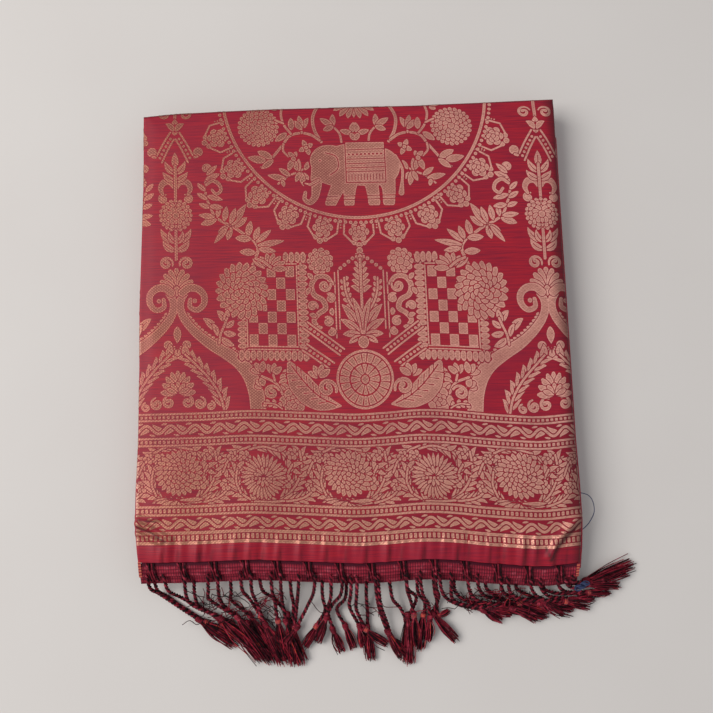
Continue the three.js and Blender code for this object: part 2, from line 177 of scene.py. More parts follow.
# The pallu: the show end of the saree, one length of crimson silk that lies on top of the folded block. It is
# turned under round both side folds and over the far fold. Its weft shows fine darker slubs, and the heading
# pulls it into creases. The tables give its edges, waves and creases, which the other layers follow.
FOLDED_WIDTH = 286.0
ROLL = 1.8  # outer radius of the side folds
FAR_ROLL = 2.6  # outer radius of the far fold
SIDE_ROWS = np.array([  # y, left, right: how far each side edge stands out of the block's width
    (-170, 0.2, 0.4), (-152, 0.3, 0.8), (-128, 2.4, 2.4), (-105, 2.2, 2.0), (-75, 1.0, 1.0),
    (-25, 0.8, 0.5), (15, 1.3, 0.0), (55, 0.5, -0.5), (105, -0.4, -1.0), (157, 0.2, -1.2),
])
FAR_ROWS = np.array([(-144, 151.4), (-120, 153.4), (-60, 155.0), (50, 155.3), (144, 157.4)])  # x, y
WEFT_ROWS = np.array([  # x, and how far a line of the cross border lies above its level there
    (-145, 2.8), (-100, 3.0), (-68, 3.7), (-45, 2.5), (-20, 1.0), (0, -0.1), (20, 0.6),
    (42, 1.9), (60, 1.1), (80, -1.2), (100, -3.1), (120, -4.4), (145, -2.6),
])
WEFT_SLOPE = -0.021
WAVES_FROM, WAVES_FULL = 25.0, -56.0
RIPPLE_ROWS = (  # long soft ripples that run down the cloth: x, half width, height
    (-122, 15, 0.9), (-66, 26, 1.5), (-6, 13, 0.6), (42, 24, 1.7), (82, 9, 0.8), (112, 14, 1.1),
)
TUCK_ROWS = (  # pinched folds at the front corners: from x, y, to x, y, half width, height
    (122.6, -153.5, 129.4, -141.0, 2.0, 2.3), (129.4, -141.0, 143.4, -127.4, 2.2, 2.6),
    (-143.5, -126.6, -134, -130, 1.7, 1.9), (-134, -130, -121, -137, 1.6, 1.4),
    (-144, -132.5, -128, -139, 1.5, 1.6), (-144, -122.5, -129, -124, 1.3, 0.9),
)
# The tuck shades are painted shade: dark bottoms painted into the same folds.
TUCK_SHADES = (  # the dark bottoms of the same folds: from x, y, to x, y, half width
    (124.4, -155, 127.2, -149, 1.5), (127.2, -149, 132.8, -142.4, 1.9), (132.8, -142.4, 145.5, -130.6, 2.3),
    (-143.4, -128.9, -135, -132.2, 1.0), (-135, -132.2, -124.5, -138.8, 0.8),
    (-143, -124.4, -131, -125.9, 0.5), (124, -155, 121, -147, 0.7),
)
CREASE_ROWS = (  # short creases down the plain end, pulled in by the heading: x, half width, height
    (-128, 1.5, 1.4), (-119, 2.2, -1.2), (-104, 1.6, 1.5), (-96, 1.4, -1.0), (-81, 1.8, 1.4), (-71, 1.3, 1.0),
    (-63, 1.5, -1.2), (-52, 1.7, 1.4), (-38, 1.4, 0.8), (-22, 1.8, 1.4), (-9, 1.4, -1.0), (4, 1.7, 1.4),
    (19, 1.4, 1.2), (27, 1.5, -1.0), (41, 1.7, 1.4), (55, 1.3, 0.8), (63, 1.6, 1.5), (70, 1.3, -1.4),
    (84, 1.5, 1.2), (93, 1.6, -1.0), (106, 1.8, 1.5), (114, 1.4, 1.0), (126, 1.6, 1.2), (134, 1.4, -1.2),
)
CREASE_LEAN, CREASE_FOOT = 0.12, -146.0
GATHER_PITCH, GATHER_HIGH = 9.6, 0.45
HANGS_FROM, HANG = -141.0, 0.0118
# The right side's shade is painted: a band darkened along the right edge.
RIGHT_BAND = 12.0  # how wide the right side is in shade
BORDER_TOP, BORDER_FOOT = -57.5, -143.9
BORDER_DULL = 0.13  # how much duller the cloth is in the cross border


def smooth(x, low, high):
    """0 below low, 1 above high, and a soft step between."""
    t = np.clip((x - low) / (high - low), 0, 1)
    return t * t * (3 - 2 * t)


def bell(x, wide):
    """1 at 0, and next to nothing past two widths."""
    return np.exp(-((x / wide) ** 2))


def curve_through(table, at, column=1):
    """A soft curve through one column of a table, read at any place."""
    x, y = table[:, 0], table[:, column]
    slope = np.gradient(y, x)
    i = np.clip(np.searchsorted(x, at) - 1, 0, len(x) - 2)
    span = x[i + 1] - x[i]
    t = np.clip((at - x[i]) / span, 0, 1)
    start = (2 * t**3 - 3 * t**2 + 1) * y[i] + (t**3 - 2 * t**2 + t) * span * slope[i]
    return start + (3 * t**2 - 2 * t**3) * y[i + 1] + (t**3 - t**2) * span * slope[i + 1]


def left_edge(y):
    return -FOLDED_WIDTH / 2 - np.interp(y, SIDE_ROWS[:, 0], SIDE_ROWS[:, 1])


def right_edge(y):
    return FOLDED_WIDTH / 2 + np.interp(y, SIDE_ROWS[:, 0], SIDE_ROWS[:, 2])


def far_edge(x):
    return np.interp(x, FAR_ROWS[:, 0], FAR_ROWS[:, 1])


def weft(x, level):
    """The place along the block of a weft line that lies at that level."""
    share = np.clip((WAVES_FROM - level) / (WAVES_FROM - WAVES_FULL), 0, 1)
    return level + (1 - share) * WEFT_SLOPE * x + share * curve_through(WEFT_ROWS, x)


def droop(y):
    """Past the stack the cloth hangs down towards the paper."""
    return HANG * np.minimum(0, y - HANGS_FROM) ** 2


def off_line(x, y, x0, y0, x1, y1):
    """How far a place lies from a straight line between two others, and the share of the line it is along."""
    long = max((x1 - x0) ** 2 + (y1 - y0) ** 2, 1e-9)
    run = np.clip(((x - x0) * (x1 - x0) + (y - y0) * (y1 - y0)) / long, 0, 1)
    return np.hypot(x - x0 - run * (x1 - x0), y - y0 - run * (y1 - y0)), run


def off_crease(x, y, foot):
    """How far across a place lies from a crease with its foot at that x."""
    return x - foot - CREASE_LEAN * (y - CREASE_FOOT)


def tuck(x, y):
    """Height of the pinched folds. Those that meet end to end run on as one."""
    return np.maximum.reduce([high * bell(off_line(x, y, *line)[0], wide) for *line, wide, high in TUCK_ROWS])


def painted_shade_and_dulling(x, y):
    """How dark a place is painted: painted shade in the pinched folds and creases, where the right side and
    the far edge turn down, and a little duller cloth in the cross border."""
    shades = [0.85 * bell(off_line(x, y, *line)[0], wide) for *line, wide in TUCK_SHADES]
    pleat_shade = sum(abs(high) * bell(off_crease(x, y, foot) - 1.2 * wide, 0.7 * wide)
                 for foot, wide, high in CREASE_ROWS)
    shades.append(0.36 * pleat_shade * smooth(-y, 141, 147))
    band = RIGHT_BAND * (0.75 + 0.25 * np.sin(y / 23))
    shades.append(0.7 * smooth(x, right_edge(y) - band, right_edge(y) - 0.3))
    shades.append(0.75 * smooth(y, far_edge(x) - 2.6, far_edge(x) + 0.1))
    level = 2 * y - weft(x, y)
    in_border = smooth(-level, -BORDER_TOP - 0.5, -BORDER_TOP + 2.5) * smooth(level, -144.2, -142.6)
    return np.maximum.reduce(shades + [BORDER_DULL * in_border])


def rise(x, y):
    """Height over the flat level: a low crown, long ripples, and the short gathers by the heading."""
    inner = FOLDED_WIDTH / 2 - np.abs(x)
    crown = 0.8 * smooth(np.minimum(inner, 150 - y), 0, 40)
    rounded = smooth(np.minimum(inner, 153 - y), -1.5, 9.5) * smooth(y, -146, -118)
    crown = crown + (0.7 + 1.7 * smooth(x, -90, 60)) * rounded
    ripples = sum(high * bell(x - at, wide) for at, wide, high in RIPPLE_ROWS)
    gathers = GATHER_HIGH * (1 + np.cos(2 * np.pi * x / GATHER_PITCH + np.sin(x / 17)))
    gathers = gathers + sum(high * bell(off_crease(x, y, foot), wide) for foot, wide, high in CREASE_ROWS)
    slack = 0.22 * np.sin(x / 13 + 1.7 * np.sin(y / 31)) * np.cos(y / 19 + 0.8 * np.sin(x / 23))
    soft = smooth(-y, 10, 150) * ripples + smooth(-y, 132, 147) * gathers + slack
    return crown + smooth(inner, 2, 12) * soft


def on_cloth(across, along, lift=0.0):
    """A place on the top layer, lifted off its face. Past a fold's start it runs on round the fold."""
    x = np.clip(across, left_edge(along) + ROLL, right_edge(along) - ROLL)
    y = np.minimum(along, far_edge(x) - FAR_ROLL)
    side = (across - x) / ROLL
    back = (along - y) / FAR_ROLL
    level = TOP_Z + rise(x, y) + tuck(x, y) - droop(y)
    outer, far = ROLL + lift, FAR_ROLL + lift
    fall = np.maximum(outer * (1 - np.cos(side)), far * (1 - np.cos(back)))
    return np.stack([x + outer * np.sin(side), y + far * np.sin(back), level + lift - fall], -1)


def piece(name, points, faces, finish, uv=None, notes=None):
    """A mesh piece from millimetre points. faces is an array of quads, or (corners, starts, counts). notes
    holds numbers for each point, which the finish reads."""
    mesh = bpy.data.meshes.new(name)
    if isinstance(faces, tuple):
        corners, starts, counts = faces
    else:
        corners = faces.ravel()
        counts = np.full(len(faces), faces.shape[1])
        starts = np.arange(len(faces)) * faces.shape[1]
    points = np.asarray(points).reshape(-1, 3)
    mesh.vertices.add(len(points))
    mesh.vertices.foreach_set("co", to_frame(points).ravel())
    mesh.loops.add(len(corners))
    mesh.loops.foreach_set("vertex_index", corners.astype(np.int32))
    mesh.polygons.add(len(starts))
    mesh.polygons.foreach_set("loop_start", starts.astype(np.int32))
    mesh.polygons.foreach_set("loop_total", counts.astype(np.int32))
    if uv is not None:
        layer = mesh.uv_layers.new(name="weave")
        flat = np.stack(np.broadcast_arrays(*uv), -1).reshape(-1, 2) * MM
        layer.data.foreach_set("uv", flat[corners].ravel())
    mesh.update(calc_edges=True)
    mesh.validate()
    mesh.polygons.foreach_set("use_smooth", np.full(len(mesh.polygons), True))
    mesh.materials.append(finish)
    for key, values in (notes or {}).items():
        attribute = mesh.attributes.new(key, "FLOAT", "POINT")
        attribute.data.foreach_set("value", values.astype(np.float32).ravel())
    made = bpy.data.objects.new(name, mesh)
    bpy.context.collection.objects.link(made)
    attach(made, "root")
    return made


def grid_faces(rows, columns, first=0, closed=False):
    """The quads of a grid of points, row by row, whose rows may close on themselves."""
    j, i = np.mgrid[0:rows - 1, 0:columns if closed else columns - 1]
    k = (i + 1) % columns
    quads = [j * columns + i, j * columns + k, (j + 1) * columns + k, (j + 1) * columns + i]
    return first + np.stack(quads, -1).reshape(-1, 4)


HEM = -154.6
FIELD_TOP = 140.0  # from here to the far fold the rows are spread evenly
LEFT_TURN, RIGHT_TURN, CORNER_TURN, FAR_TURN = 2.5, 1.45, 1.2, 1.9  # how far round each fold the cloth goes
ROW_STEPS = ((HEM, -138, 0.7), (-138, -112, 1.1), (-112, FIELD_TOP, 1.6))  # from, to, and how far apart
levels = np.concatenate([np.arange(*steps) for steps in ROW_STEPS])
across_flat = np.linspace(0, 1, 190)
left_arc = np.linspace(1, 0, 12, endpoint=False)
right_arc = np.linspace(0, 1, 8)[1:]


def columns_at(y):
    """Across places of all the columns, for rows whose mean place along is y."""
    y = y[:, None]
    low, high = left_edge(y) + ROLL, right_edge(y) - ROLL
    corner = smooth(y, 138, 150)
    left = ROLL * (LEFT_TURN + (CORNER_TURN - LEFT_TURN) * corner)
    right = ROLL * (RIGHT_TURN + (CORNER_TURN - RIGHT_TURN) * corner)
    flat = low + (high - low) * across_flat
    return np.concatenate([low - left * left_arc, flat, high + right * right_arc], 1)


x_guess = np.clip(columns_at(levels), -FOLDED_WIDTH / 2, FOLDED_WIDTH / 2)
along = weft(x_guess, levels[:, None])
x_top = np.clip(columns_at(np.full(1, 155.0)), -FOLDED_WIDTH / 2, FOLDED_WIDTH / 2)
fold_start = far_edge(x_top) - FAR_ROLL
to_fold = np.linspace(0, 1, 9)[:, None]
over_fold = FAR_ROLL * FAR_TURN * np.linspace(0, 1, 12)[1:, None]
last = weft(x_top, FIELD_TOP)
along = np.concatenate([along, last + (fold_start - last) * to_fold, fold_start + over_fold])
across = columns_at(along.mean(1))


def stretched(tree, scale):
    """The place on a piece, scaled by as much in each direction."""
    return node(tree, "ShaderNodeMapping", Vector=on_object(tree), Scale=scale).outputs["Vector"]


def share_of(tree, source, low, high, most=1.0, least=0.0):
    """A share that grows as a number goes from low to high."""
    return node(tree, "ShaderNodeMapRange", Value=source, From_Min=low, From_Max=high, To_Min=least,
                To_Max=most).outputs["Result"]


def paint_shade_and_dulling(tree, colour, dark):
    """The colour, darkened by the painted shade and dulling that each point was given."""
    depth = node(tree, "ShaderNodeAttribute", attribute_name="painted_shade_dulling").outputs["Fac"]
    return mix_colour(tree, depth, colour, dark)


def bump(tree, height, strength, distance):
    """Fine relief on the surface."""
    made = node(tree, "ShaderNodeBump", Height=height, Strength=strength, Distance=distance)
    coat(tree, Normal=made.outputs["Normal"])


silk, tree = finish_of("crimson_silk", Roughness=0.5, Specular_IOR_Level=0.28)
slubs = noise(tree, 1.0, 4.0, stretched(tree, (45, 1300, 45)), Roughness=0.62)
crimson = mix_colour(tree, share_of(tree, slubs, 0.38, 0.68), srgb(169, 23, 41), srgb(124, 15, 43))
patches = share_of(tree, noise(tree, 22.0, 3.0), 0.42, 0.72, 0.5)
crimson = mix_colour(tree, patches, crimson, srgb(138, 20, 48))
across_piece = node(tree, "ShaderNodeSeparateXYZ", Vector=on_object(tree)).outputs["X"]
# Painted highlight: the silk turns pale pink along the left fold, the side that faces the window.
painted_fold_highlight = share_of(tree, across_piece, (block_x - 142.4) * MM, (block_x - 144.8) * MM, 0.18)
crimson = mix_colour(tree, painted_fold_highlight, crimson, srgb(214, 120, 110))
# Painted shade darkens the silk in the folds, creases and turned edges, and the cross border is duller.
coat(tree, Base_Color=paint_shade_and_dulling(tree, crimson, srgb(48, 8, 16)))
bump(tree, slubs, 0.25, 0.0002)

pallu = piece("pallu", on_cloth(across, along), grid_faces(*along.shape), silk,
              uv=(across, along), notes={"painted_shade_dulling": painted_shade_and_dulling(across, along)})
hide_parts("pallu_field", "pallu_border", "plain_end")

# The hidden layers: the rest of the saree, folded into five bundles that are pressed flat. Only their edges
# show, where each bundle turns back on itself in five rounded folds. The block rests on its lowest layer.
BUNDLE, PLIES = 3.88, 5
BUNDLE_INSETS = np.array([  # left, right, far, near, from the bottom up
    (1.6, 2.6, 2.4, 4.5), (3.0, 1.4, 0.9, 7.0), (1.2, 2.2, 3.0, 5.0), (2.6, 0.9, 1.2, 8.0),
    (3.2, 2.4, 3.2, 9.5),
])
NEAR_EDGE, STACK_CORNER = -147.0, 5.0
PLY_ANGLES = (-78, -28, 28, 78)  # the rings round the edge of one layer
SIDE_POINTS, CORNER_POINTS = 66, 7


def outline(insets, inset, number):
    """The outline of a layer, set in from the block's edges, as points all round it."""
    left, right, far, near = insets + inset
    turn = STACK_CORNER - inset
    low, high, front = left_edge(0) + left + turn, right_edge(0) - right - turn, NEAR_EDGE + near + turn
    far_right, far_left = far_edge(high + turn) - far - turn, far_edge(low - turn) - far - turn
    centres = [(high, far_right), (low, far_left), (low, front), (high, front)]
    points = []
    for side, centre in enumerate(centres):
        angle = np.radians(90 * side + np.linspace(0, 90, CORNER_POINTS))
        corner = np.stack([centre[0] + turn * np.cos(angle), centre[1] + turn * np.sin(angle)], -1)
        outward = np.array([math.cos(angle[-1]), math.sin(angle[-1])])
        end = np.array(centres[(side + 1) % 4]) + turn * outward
        share = np.linspace(0, 1, SIDE_POINTS)[1:-1, None]
        sway = 0.55 * np.sin(7 * share + 2.1 * number + side) + 0.12 * np.sin(31 * share + 1.3 * number)
        points += [corner, corner[-1] + (end - corner[-1]) * share + np.sin(np.pi * share) * sway * outward]
    return np.concatenate(points)


rings = []
thick = BUNDLE / PLIES
for bundle, insets in enumerate(BUNDLE_INSETS):
    for ply in range(PLIES):
        middle = BUNDLE * bundle + thick * (ply + 0.5)
        bulge = BUNDLE / 2 * math.cos(math.radians(68) * (2 * (ply + 0.5) / PLIES - 1))
        back = 0.35 * math.sin(2.3 * ply + 1.7 * bundle)
        for angle in map(math.radians, PLY_ANGLES):
            inset = BUNDLE / 2 - bulge + 0.35 + back + 0.4 * (1 - math.cos(angle))
            ring = outline(insets, inset, bundle + 0.35 * ply)
            rings.append(np.column_stack([ring, np.full(len(ring), middle + thick / 2 * math.sin(angle))]))
count = len(rings[0])
walls = grid_faces(len(rings), count, closed=True)
bottom = rings[0]
centre = np.array([[0.0, 0.0, bottom[0, 2]]])
underside = [centre + (bottom - centre) * share for share in (1, 0.75, 0.5, 0.25, 0.02)]
under_faces = grid_faces(len(underside), count, first=len(rings) * count, closed=True)[:, ::-1]
stack = piece("folded_layers", np.concatenate(rings + underside), np.concatenate([walls, under_faces]), silk)
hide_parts("folded_stack")

# The layer right under the pallu is the next fold of the same crimson silk. It shows as a narrow line past
# the right fold and under the hem.
LAYER_STEP, UNDER_LAP, UNDER_SHOW, UNDER_SHOW_FROM, UNDER_ROLL = 1.9, 4.2, 1.3, 134.0, 1.1
UNDER_INSET = 2.2
UNDER_Z = TOP_Z - LAYER_STEP
near = HEM - UNDER_LAP
share = np.linspace(0, 1, 220)[:, None]
y = near + (UNDER_SHOW_FROM + 14 - near) * share
shows = smooth(UNDER_SHOW_FROM - y, 0, 5)
low, high = left_edge(y) + UNDER_INSET, right_edge(y) - UNDER_INSET + (UNDER_SHOW + UNDER_INSET) * shows
step = np.concatenate([np.linspace(0, 0.97, 40), np.linspace(0.97, 1, 12)[1:]])
x = low + (high - low) * step
along_under = y + (weft(x, near) - near) * (1 - share) ** 4
into_roll = np.clip((x - high + UNDER_ROLL) / UNDER_ROLL, 0, 1)
edge_roll = UNDER_ROLL * (1 - np.sqrt(1 - into_roll**2))
under_points = np.stack([x, along_under, UNDER_Z - droop(along_under) - edge_roll], -1)
under = piece("under_layer", under_points, grid_faces(*x.shape), silk, uv=(x, along_under))
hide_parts("under_turn")

# The zari: gold-wrapped thread brocaded into the silk of the pallu, so that each figure stands a hair above
# it. A figure is drawn on point paper, as a weaver's draft is, with a fine line of bare silk round each leaf
# and petal. The paper holds the distance to the edge of the gold in millimetres, less than 0 within it.
AXIS = 124.3  # the half repeat: the design turns over at 0 and again here
HALF_REPEAT = 250  # threads in it
THREAD = AXIS / HALF_REPEAT  # spacing of the point paper
DESIGN_MIDDLE = 6.4  # how far to the right of the block's middle the design turns over
CLOTH_HALF = 144.0
LIFT = 0.14  # how far the gold stands above the silk
STOPS_SHORT = (0.15, 0.1, 0.1)  # how much less far round the left, right and far fold it goes than the silk
BLANK, FARTHEST = 3.0, 9.0  # the distance on empty paper, and the most that a figure counts
WORKED = 1.5  # how far round a figure the paper is worked
LEAF = (0.2, 0.75, 1, 0.85, 0.5, 0.05)  # the outline of a leaf from base to tip, as shares of its width
PETAL = (0.45, 0.7, 0.9, 1, 0.95, 0.5)


def lengths_along(line):
    """How far along a line each of its points lies."""
    return np.concatenate([[0], np.cumsum(np.linalg.norm(np.diff(line, axis=0), axis=1))])


def places_along(line, at):
    """The places that lie so far along a line."""
    run = lengths_along(line)
    return np.stack([np.interp(at, run, values) for values in line.T], -1)


def curve_of(points, count):
    """A soft curve through points, as that many places."""
    run = lengths_along(points)
    table = np.column_stack([run, points])
    at = np.linspace(0, run[-1], count)
    return np.stack([curve_through(table, at, k) for k in range(1, table.shape[1])], -1)


def bend_through(points, step=1.1):
    """A soft curve through points on the paper, in steps of about that length."""
    points = np.asarray(points, float)
    if len(points) == 2:
        return points[0] + (points[1] - points[0]) * np.linspace(0, 1, 5)[:, None]
    return curve_of(points, max(6, int(lengths_along(points)[-1] / step)))


def threads(low, high):
    """The places of the threads of the point paper from low to high."""
    return low + THREAD * np.arange(round((high - low) / THREAD) + 1)


class Draft:
    """A sheet of point paper. gap is the line of bare silk left round a figure, and cut takes gold away."""

    def __init__(self, u, v, field=None):
        self.u, self.v = u, v
        self.field = np.full((len(v), len(u)), BLANK) if field is None else field

    def window(self, points, margin):
        """The part of the paper round some points: its slices and its two coordinates."""
        low, high = np.min(points, 0) - margin, np.max(points, 0) + margin
        i = slice(*np.searchsorted(self.u, (low[0], high[0])))
        j = slice(*np.searchsorted(self.v, (low[1], high[1])))
        return (j, i), self.u[None, i], self.v[j, None]

    def put(self, where, distance, gap=0.5, cut=False):
        """A figure, by the distance to its edge."""
        old = self.field[where]
        if cut:
            self.field[where] = np.maximum(old, -distance)
        else:
            self.field[where] = np.minimum(np.maximum(old, gap - distance) if gap else old, distance)

    def ribbon(self, points, wide, gap=0.5, cut=False):
        """A band along points, whose width runs through the given ones."""
        points = np.asarray(points, float)
        widths = np.atleast_1d(np.asarray(wide, float))
        half = np.interp(np.linspace(0, 1, len(points)), np.linspace(0, 1, len(widths)), widths) / 2
        where, u, v = self.window(points, half.max() + WORKED)
        distance = np.full((v.shape[0], u.shape[1]), FARTHEST)
        for k in range(len(points) - 1):
            off, run = off_line(u, v, *points[k], *points[k + 1])
            distance = np.minimum(distance, off - half[k] - (half[k + 1] - half[k]) * run)
        self.put(where, distance, gap, cut)

    def spot(self, centre, radius, gap=0.5, cut=False):
        radius = np.broadcast_to(np.asarray(radius, float), 2)
        where, u, v = self.window([centre], radius.max() + WORKED)
        distance = (np.hypot((u - centre[0]) / radius[0], (v - centre[1]) / radius[1]) - 1) * radius.min()
        self.put(where, distance, gap, cut)

    def box(self, centre, half_wide, half_high, gap, margin=1.15):
        half = np.array([half_wide, half_high])
        where, u, v = self.window([centre - half, centre + half], margin)
        self.put(where, np.maximum(abs(u - centre[0]) - half_wide, abs(v - centre[1]) - half_high), gap)

    def stem(self, points, wide, cut=False):
        self.ribbon(bend_through(points), wide, cut=cut)

    def leaf(self, base, tip, wide, bend=0.0, rib=0.0, gap=0.5, shape=LEAF):
        base, tip = np.array(base, float), np.array(tip, float)
        t = np.linspace(0, 1, 8)[:, None]
        across_it = np.array([base[1] - tip[1], tip[0] - base[0]])
        line = base + (tip - base) * t + across_it * bend * 4 * t * (1 - t)
        self.ribbon(line, np.array(shape) * wide, gap)
        if rib:
            self.ribbon(line[1:6], rib, cut=True)

    def petals(self, centre, inner, outer, number, wide, turn=0.0, squash=(1, 1), gap=0.5, start=0.0,
               sweep=360.0, shape=PETAL):
        """Petals all round a centre, or a fan of them that starts at an angle and sweeps through another."""
        for k in range(number):
            share = (k + turn) / number if sweep == 360.0 else k / (number - 1)
            angle = math.radians(start + sweep * share)
            way = np.array([math.cos(angle) * squash[0], math.sin(angle) * squash[1]])
            self.leaf(centre + inner * way, centre + outer * way, wide, gap=gap, shape=shape)

    def curl(self, centre, radius, start, turns, wide):
        """A spiral that starts at an angle on its rim and winds in."""
        t = np.linspace(0, 1, 18)
        angle = np.radians(start + 360 * turns * t)
        reach = radius * (1 - 0.75 * t)
        line = np.stack([centre[0] + reach * np.cos(angle), centre[1] + reach * np.sin(angle)], -1)
        self.ribbon(line, (wide * 0.6, wide, wide * 1.1, wide * 0.8))
        self.spot(line[-1], wide * 0.7, gap=0)

    def beads(self, points, radius, pitch):
        line = bend_through(points)
        for place in places_along(line, np.arange(pitch / 2, lengths_along(line)[-1], pitch)):
            self.spot(place, radius, gap=0.35)

    def spray(self, points, long, wide, pitch, lean=52.0, stalk=1.0, first=0.3, rib=0.0, fade=0.75):
        """A stalk with leaves along both sides, which grow shorter towards its tip."""
        line = bend_through(points)
        full = lengths_along(line)[-1]
        at = np.arange(pitch * first, full - 0.3 * pitch, pitch / 2)
        for n, (here, ahead) in enumerate(zip(places_along(line, at), places_along(line, at + 0.8))):
            side = -1 if n % 2 else 1
            way = math.atan2(*(ahead - here)[::-1]) + math.radians(lean) * side
            reach = long * (1 - (1 - fade) * at[n] / full)
            tip = here + reach * np.array([math.cos(way), math.sin(way)])
            self.leaf(here, tip, wide, bend=-0.12 * side, rib=rib)
        self.ribbon(line, stalk)

    def bloom(self, centre, radius, rings, heart, squash=(1, 1), gap=0.45, tuck_in=0.8, shape=PETAL):
        """A flower: rings of petals from the outside in, by share of reach, number and share of width."""
        centre = np.asarray(centre, float)
        for n, (reach, number, plump) in enumerate(rings):
            inner = rings[n + 1][0] * tuck_in if n + 1 < len(rings) else heart
            wide = 2 * math.pi * radius * reach / number * plump
            self.petals(centre, radius * inner, radius * reach * 0.93, number, wide, turn=0.5 * (n % 2),
                        squash=squash, gap=gap, shape=shape)
        self.spot(centre, np.array(squash) * radius * heart, gap)


def ground_of(u, v):
    """Where a place on the point paper lies on the cloth, across and along."""
    x = DESIGN_MIDDLE + u + WEFT_SLOPE * v
    return x, weft(np.clip(x, -CLOTH_HALF, CLOTH_HALF), v)


def on_paper(*places):
    """The places on the point paper of places across and along the finished cloth."""
    x, y = np.asarray(places, float).T
    v = 2 * y - weft(x, y)
    return np.stack([x - DESIGN_MIDDLE - WEFT_SLOPE * v, v], -1)


def place_of(x, y):
    return on_paper((x, y))[0]


def weave_in(name, draft):
    """A piece of gold from a draft: each cell of the paper that lies in the gold is a face, cut off where the
    edge of the gold crosses it. Each point knows how far in from that edge it is."""
    u, v = np.meshgrid(draft.u, draft.v)
    x, y = ground_of(u, v)
    low = left_edge(y) + ROLL - ROLL * (LEFT_TURN - STOPS_SHORT[0])
    high = right_edge(y) - ROLL + ROLL * (RIGHT_TURN - STOPS_SHORT[1])
    top = far_edge(x) - FAR_ROLL + FAR_ROLL * (FAR_TURN - STOPS_SHORT[2])
    field = np.maximum.reduce([draft.field, low - x, x - high, y - top])
    field = np.where(np.abs(field) < 1e-6, 1e-6, field)
    inside = field < 0
    rows, columns = field.shape
    size = rows * columns
    cell = np.arange(size).reshape(rows, columns)[:-1, :-1]
    corners = (cell, cell + 1, cell + 1 + columns, cell + columns)
    crossings = (size + cell, 2 * size + cell + 1, size + cell + columns, 2 * size + cell)
    states = (inside[:-1, :-1], inside[:-1, 1:], inside[1:, 1:], inside[1:, :-1])
    case = sum(state.astype(int) << k for k, state in enumerate(states))
    loops, counts = [], []
    for number in range(1, 16):
        chosen = case == number
        walk = []
        for k in range(4):
            here, following = number >> k & 1, number >> (k + 1) % 4 & 1
            if here:
                walk.append(corners[k][chosen])
            if here != following:
                walk.append(crossings[k][chosen])
        loops.append(np.stack(walk, -1).ravel())
        counts.append(np.full(int(chosen.sum()), len(walk)))
    count = np.concatenate(counts)
    starts = np.concatenate([[0], np.cumsum(count)[:-1]])
    ids, used = np.unique(np.concatenate(loops), return_inverse=True)
    kind, base = np.divmod(ids, size)
    other = base + np.array([0, 1, columns])[kind]
    start, end = field.ravel()[base], field.ravel()[other]
    share = np.where(kind > 0, start / np.where(kind > 0, start - end, 1), 0)
    at_u, at_v = (flat[base] + (flat[other] - flat[base]) * share for flat in (u.ravel(), v.ravel()))
    at_x, at_y = ground_of(at_u, at_v)
    notes = {"inset": np.where(kind > 0, 0.0, -start), "painted_shade_dulling": painted_shade_and_dulling(at_x, at_y)}
    faces = (used, starts, count)
    piece(name, on_cloth(at_x, at_y, LIFT), faces, zari, (at_u, at_v), notes)


def on_weave(tree):
    """The place on a piece as its threads run, in metres across and along."""
    return node(tree, "ShaderNodeTexCoord").outputs["UV"]


def waves(tree, scale, place, **settings):
    """Even bands, from 0 to 1."""
    return node(tree, "ShaderNodeTexWave", Vector=place, Scale=scale, **settings).outputs["Fac"]


def product(tree, *shares):
    """Shares multiplied together."""
    result, *others = shares
    for share in others:
        times = node(tree, "ShaderNodeMath", operation="MULTIPLY")
        tree.links.new(result, times.inputs[0])
        tree.links.new(share, times.inputs[1])
        result = times.outputs["Value"]
    return result


zari, tree = finish_of("zari", Metallic=0.35, Roughness=0.42)
across_piece, along_piece, _ = node(tree, "ShaderNodeSeparateXYZ", Vector=on_object(tree)).outputs
inset = node(tree, "ShaderNodeAttribute", attribute_name="inset").outputs["Fac"]
# Painted sheen: the gold is darker and browner at the left, and lighter and pinker to the right.
painted_sheen_rightward = share_of(tree, across_piece, -0.15, 0.12)
fill = mix_colour(tree, painted_sheen_rightward, srgb(152, 90, 67), srgb(227, 158, 141))
rim = mix_colour(tree, painted_sheen_rightward, srgb(174, 101, 79), srgb(245, 176, 159))
gold = mix_colour(tree, share_of(tree, inset, 0.35, 1.0), rim, fill)
mottle = share_of(tree, noise(tree, 48.0, 3.0), 0.42, 0.75, 0.45)
gold = mix_colour(tree, mottle, gold, srgb(150, 72, 72))
# Painted sheen: the gold grows lighter and yellower towards the hem.
gold = mix_colour(tree, share_of(tree, along_piece, -0.05, -0.125, 0.42), gold, srgb(232, 164, 128))
twill = []
for lean in (50, -50):
    turned = node(tree, "ShaderNodeMapping", Vector=on_weave(tree), Rotation=(0, 0, math.radians(lean)))
    twill.append(waves(tree, 212.0, turned.outputs["Vector"]))
lattice = product(tree, *twill)
BORDER_EDGE = (block_y - 60) * MM, (block_y - 56) * MM  # the lattice is faint nearer the fringe
LATTICE_RIGHT, LATTICE_LEFT = 0.03, -0.04  # and right of the middle, and is at its fullest left of it
lattice_share = product(
    tree, share_of(tree, lattice, 0.0, 0.5, 0.0, 0.7), share_of(tree, inset, 0.3, 0.95, 1.0, 0.12),
    share_of(tree, along_piece, *BORDER_EDGE, 1.0, 0.3),
    share_of(tree, across_piece, LATTICE_RIGHT, LATTICE_LEFT, 1.0, 0.3),
)
gold = mix_colour(tree, lattice_share, gold, srgb(116, 44, 40))
yarn = share_of(tree, noise(tree, 1.0, 2.0, stretched(tree, (420, 1500, 420))), 0.5, 0.66, 0.38)
gold = mix_colour(tree, yarn, gold, srgb(122, 44, 48))
# Painted shade: a dark line round the very edge of each figure, where the raised gold meets the silk.
gold = mix_colour(tree, share_of(tree, inset, 0.13, 0.0, 0.7), gold, srgb(112, 24, 38))
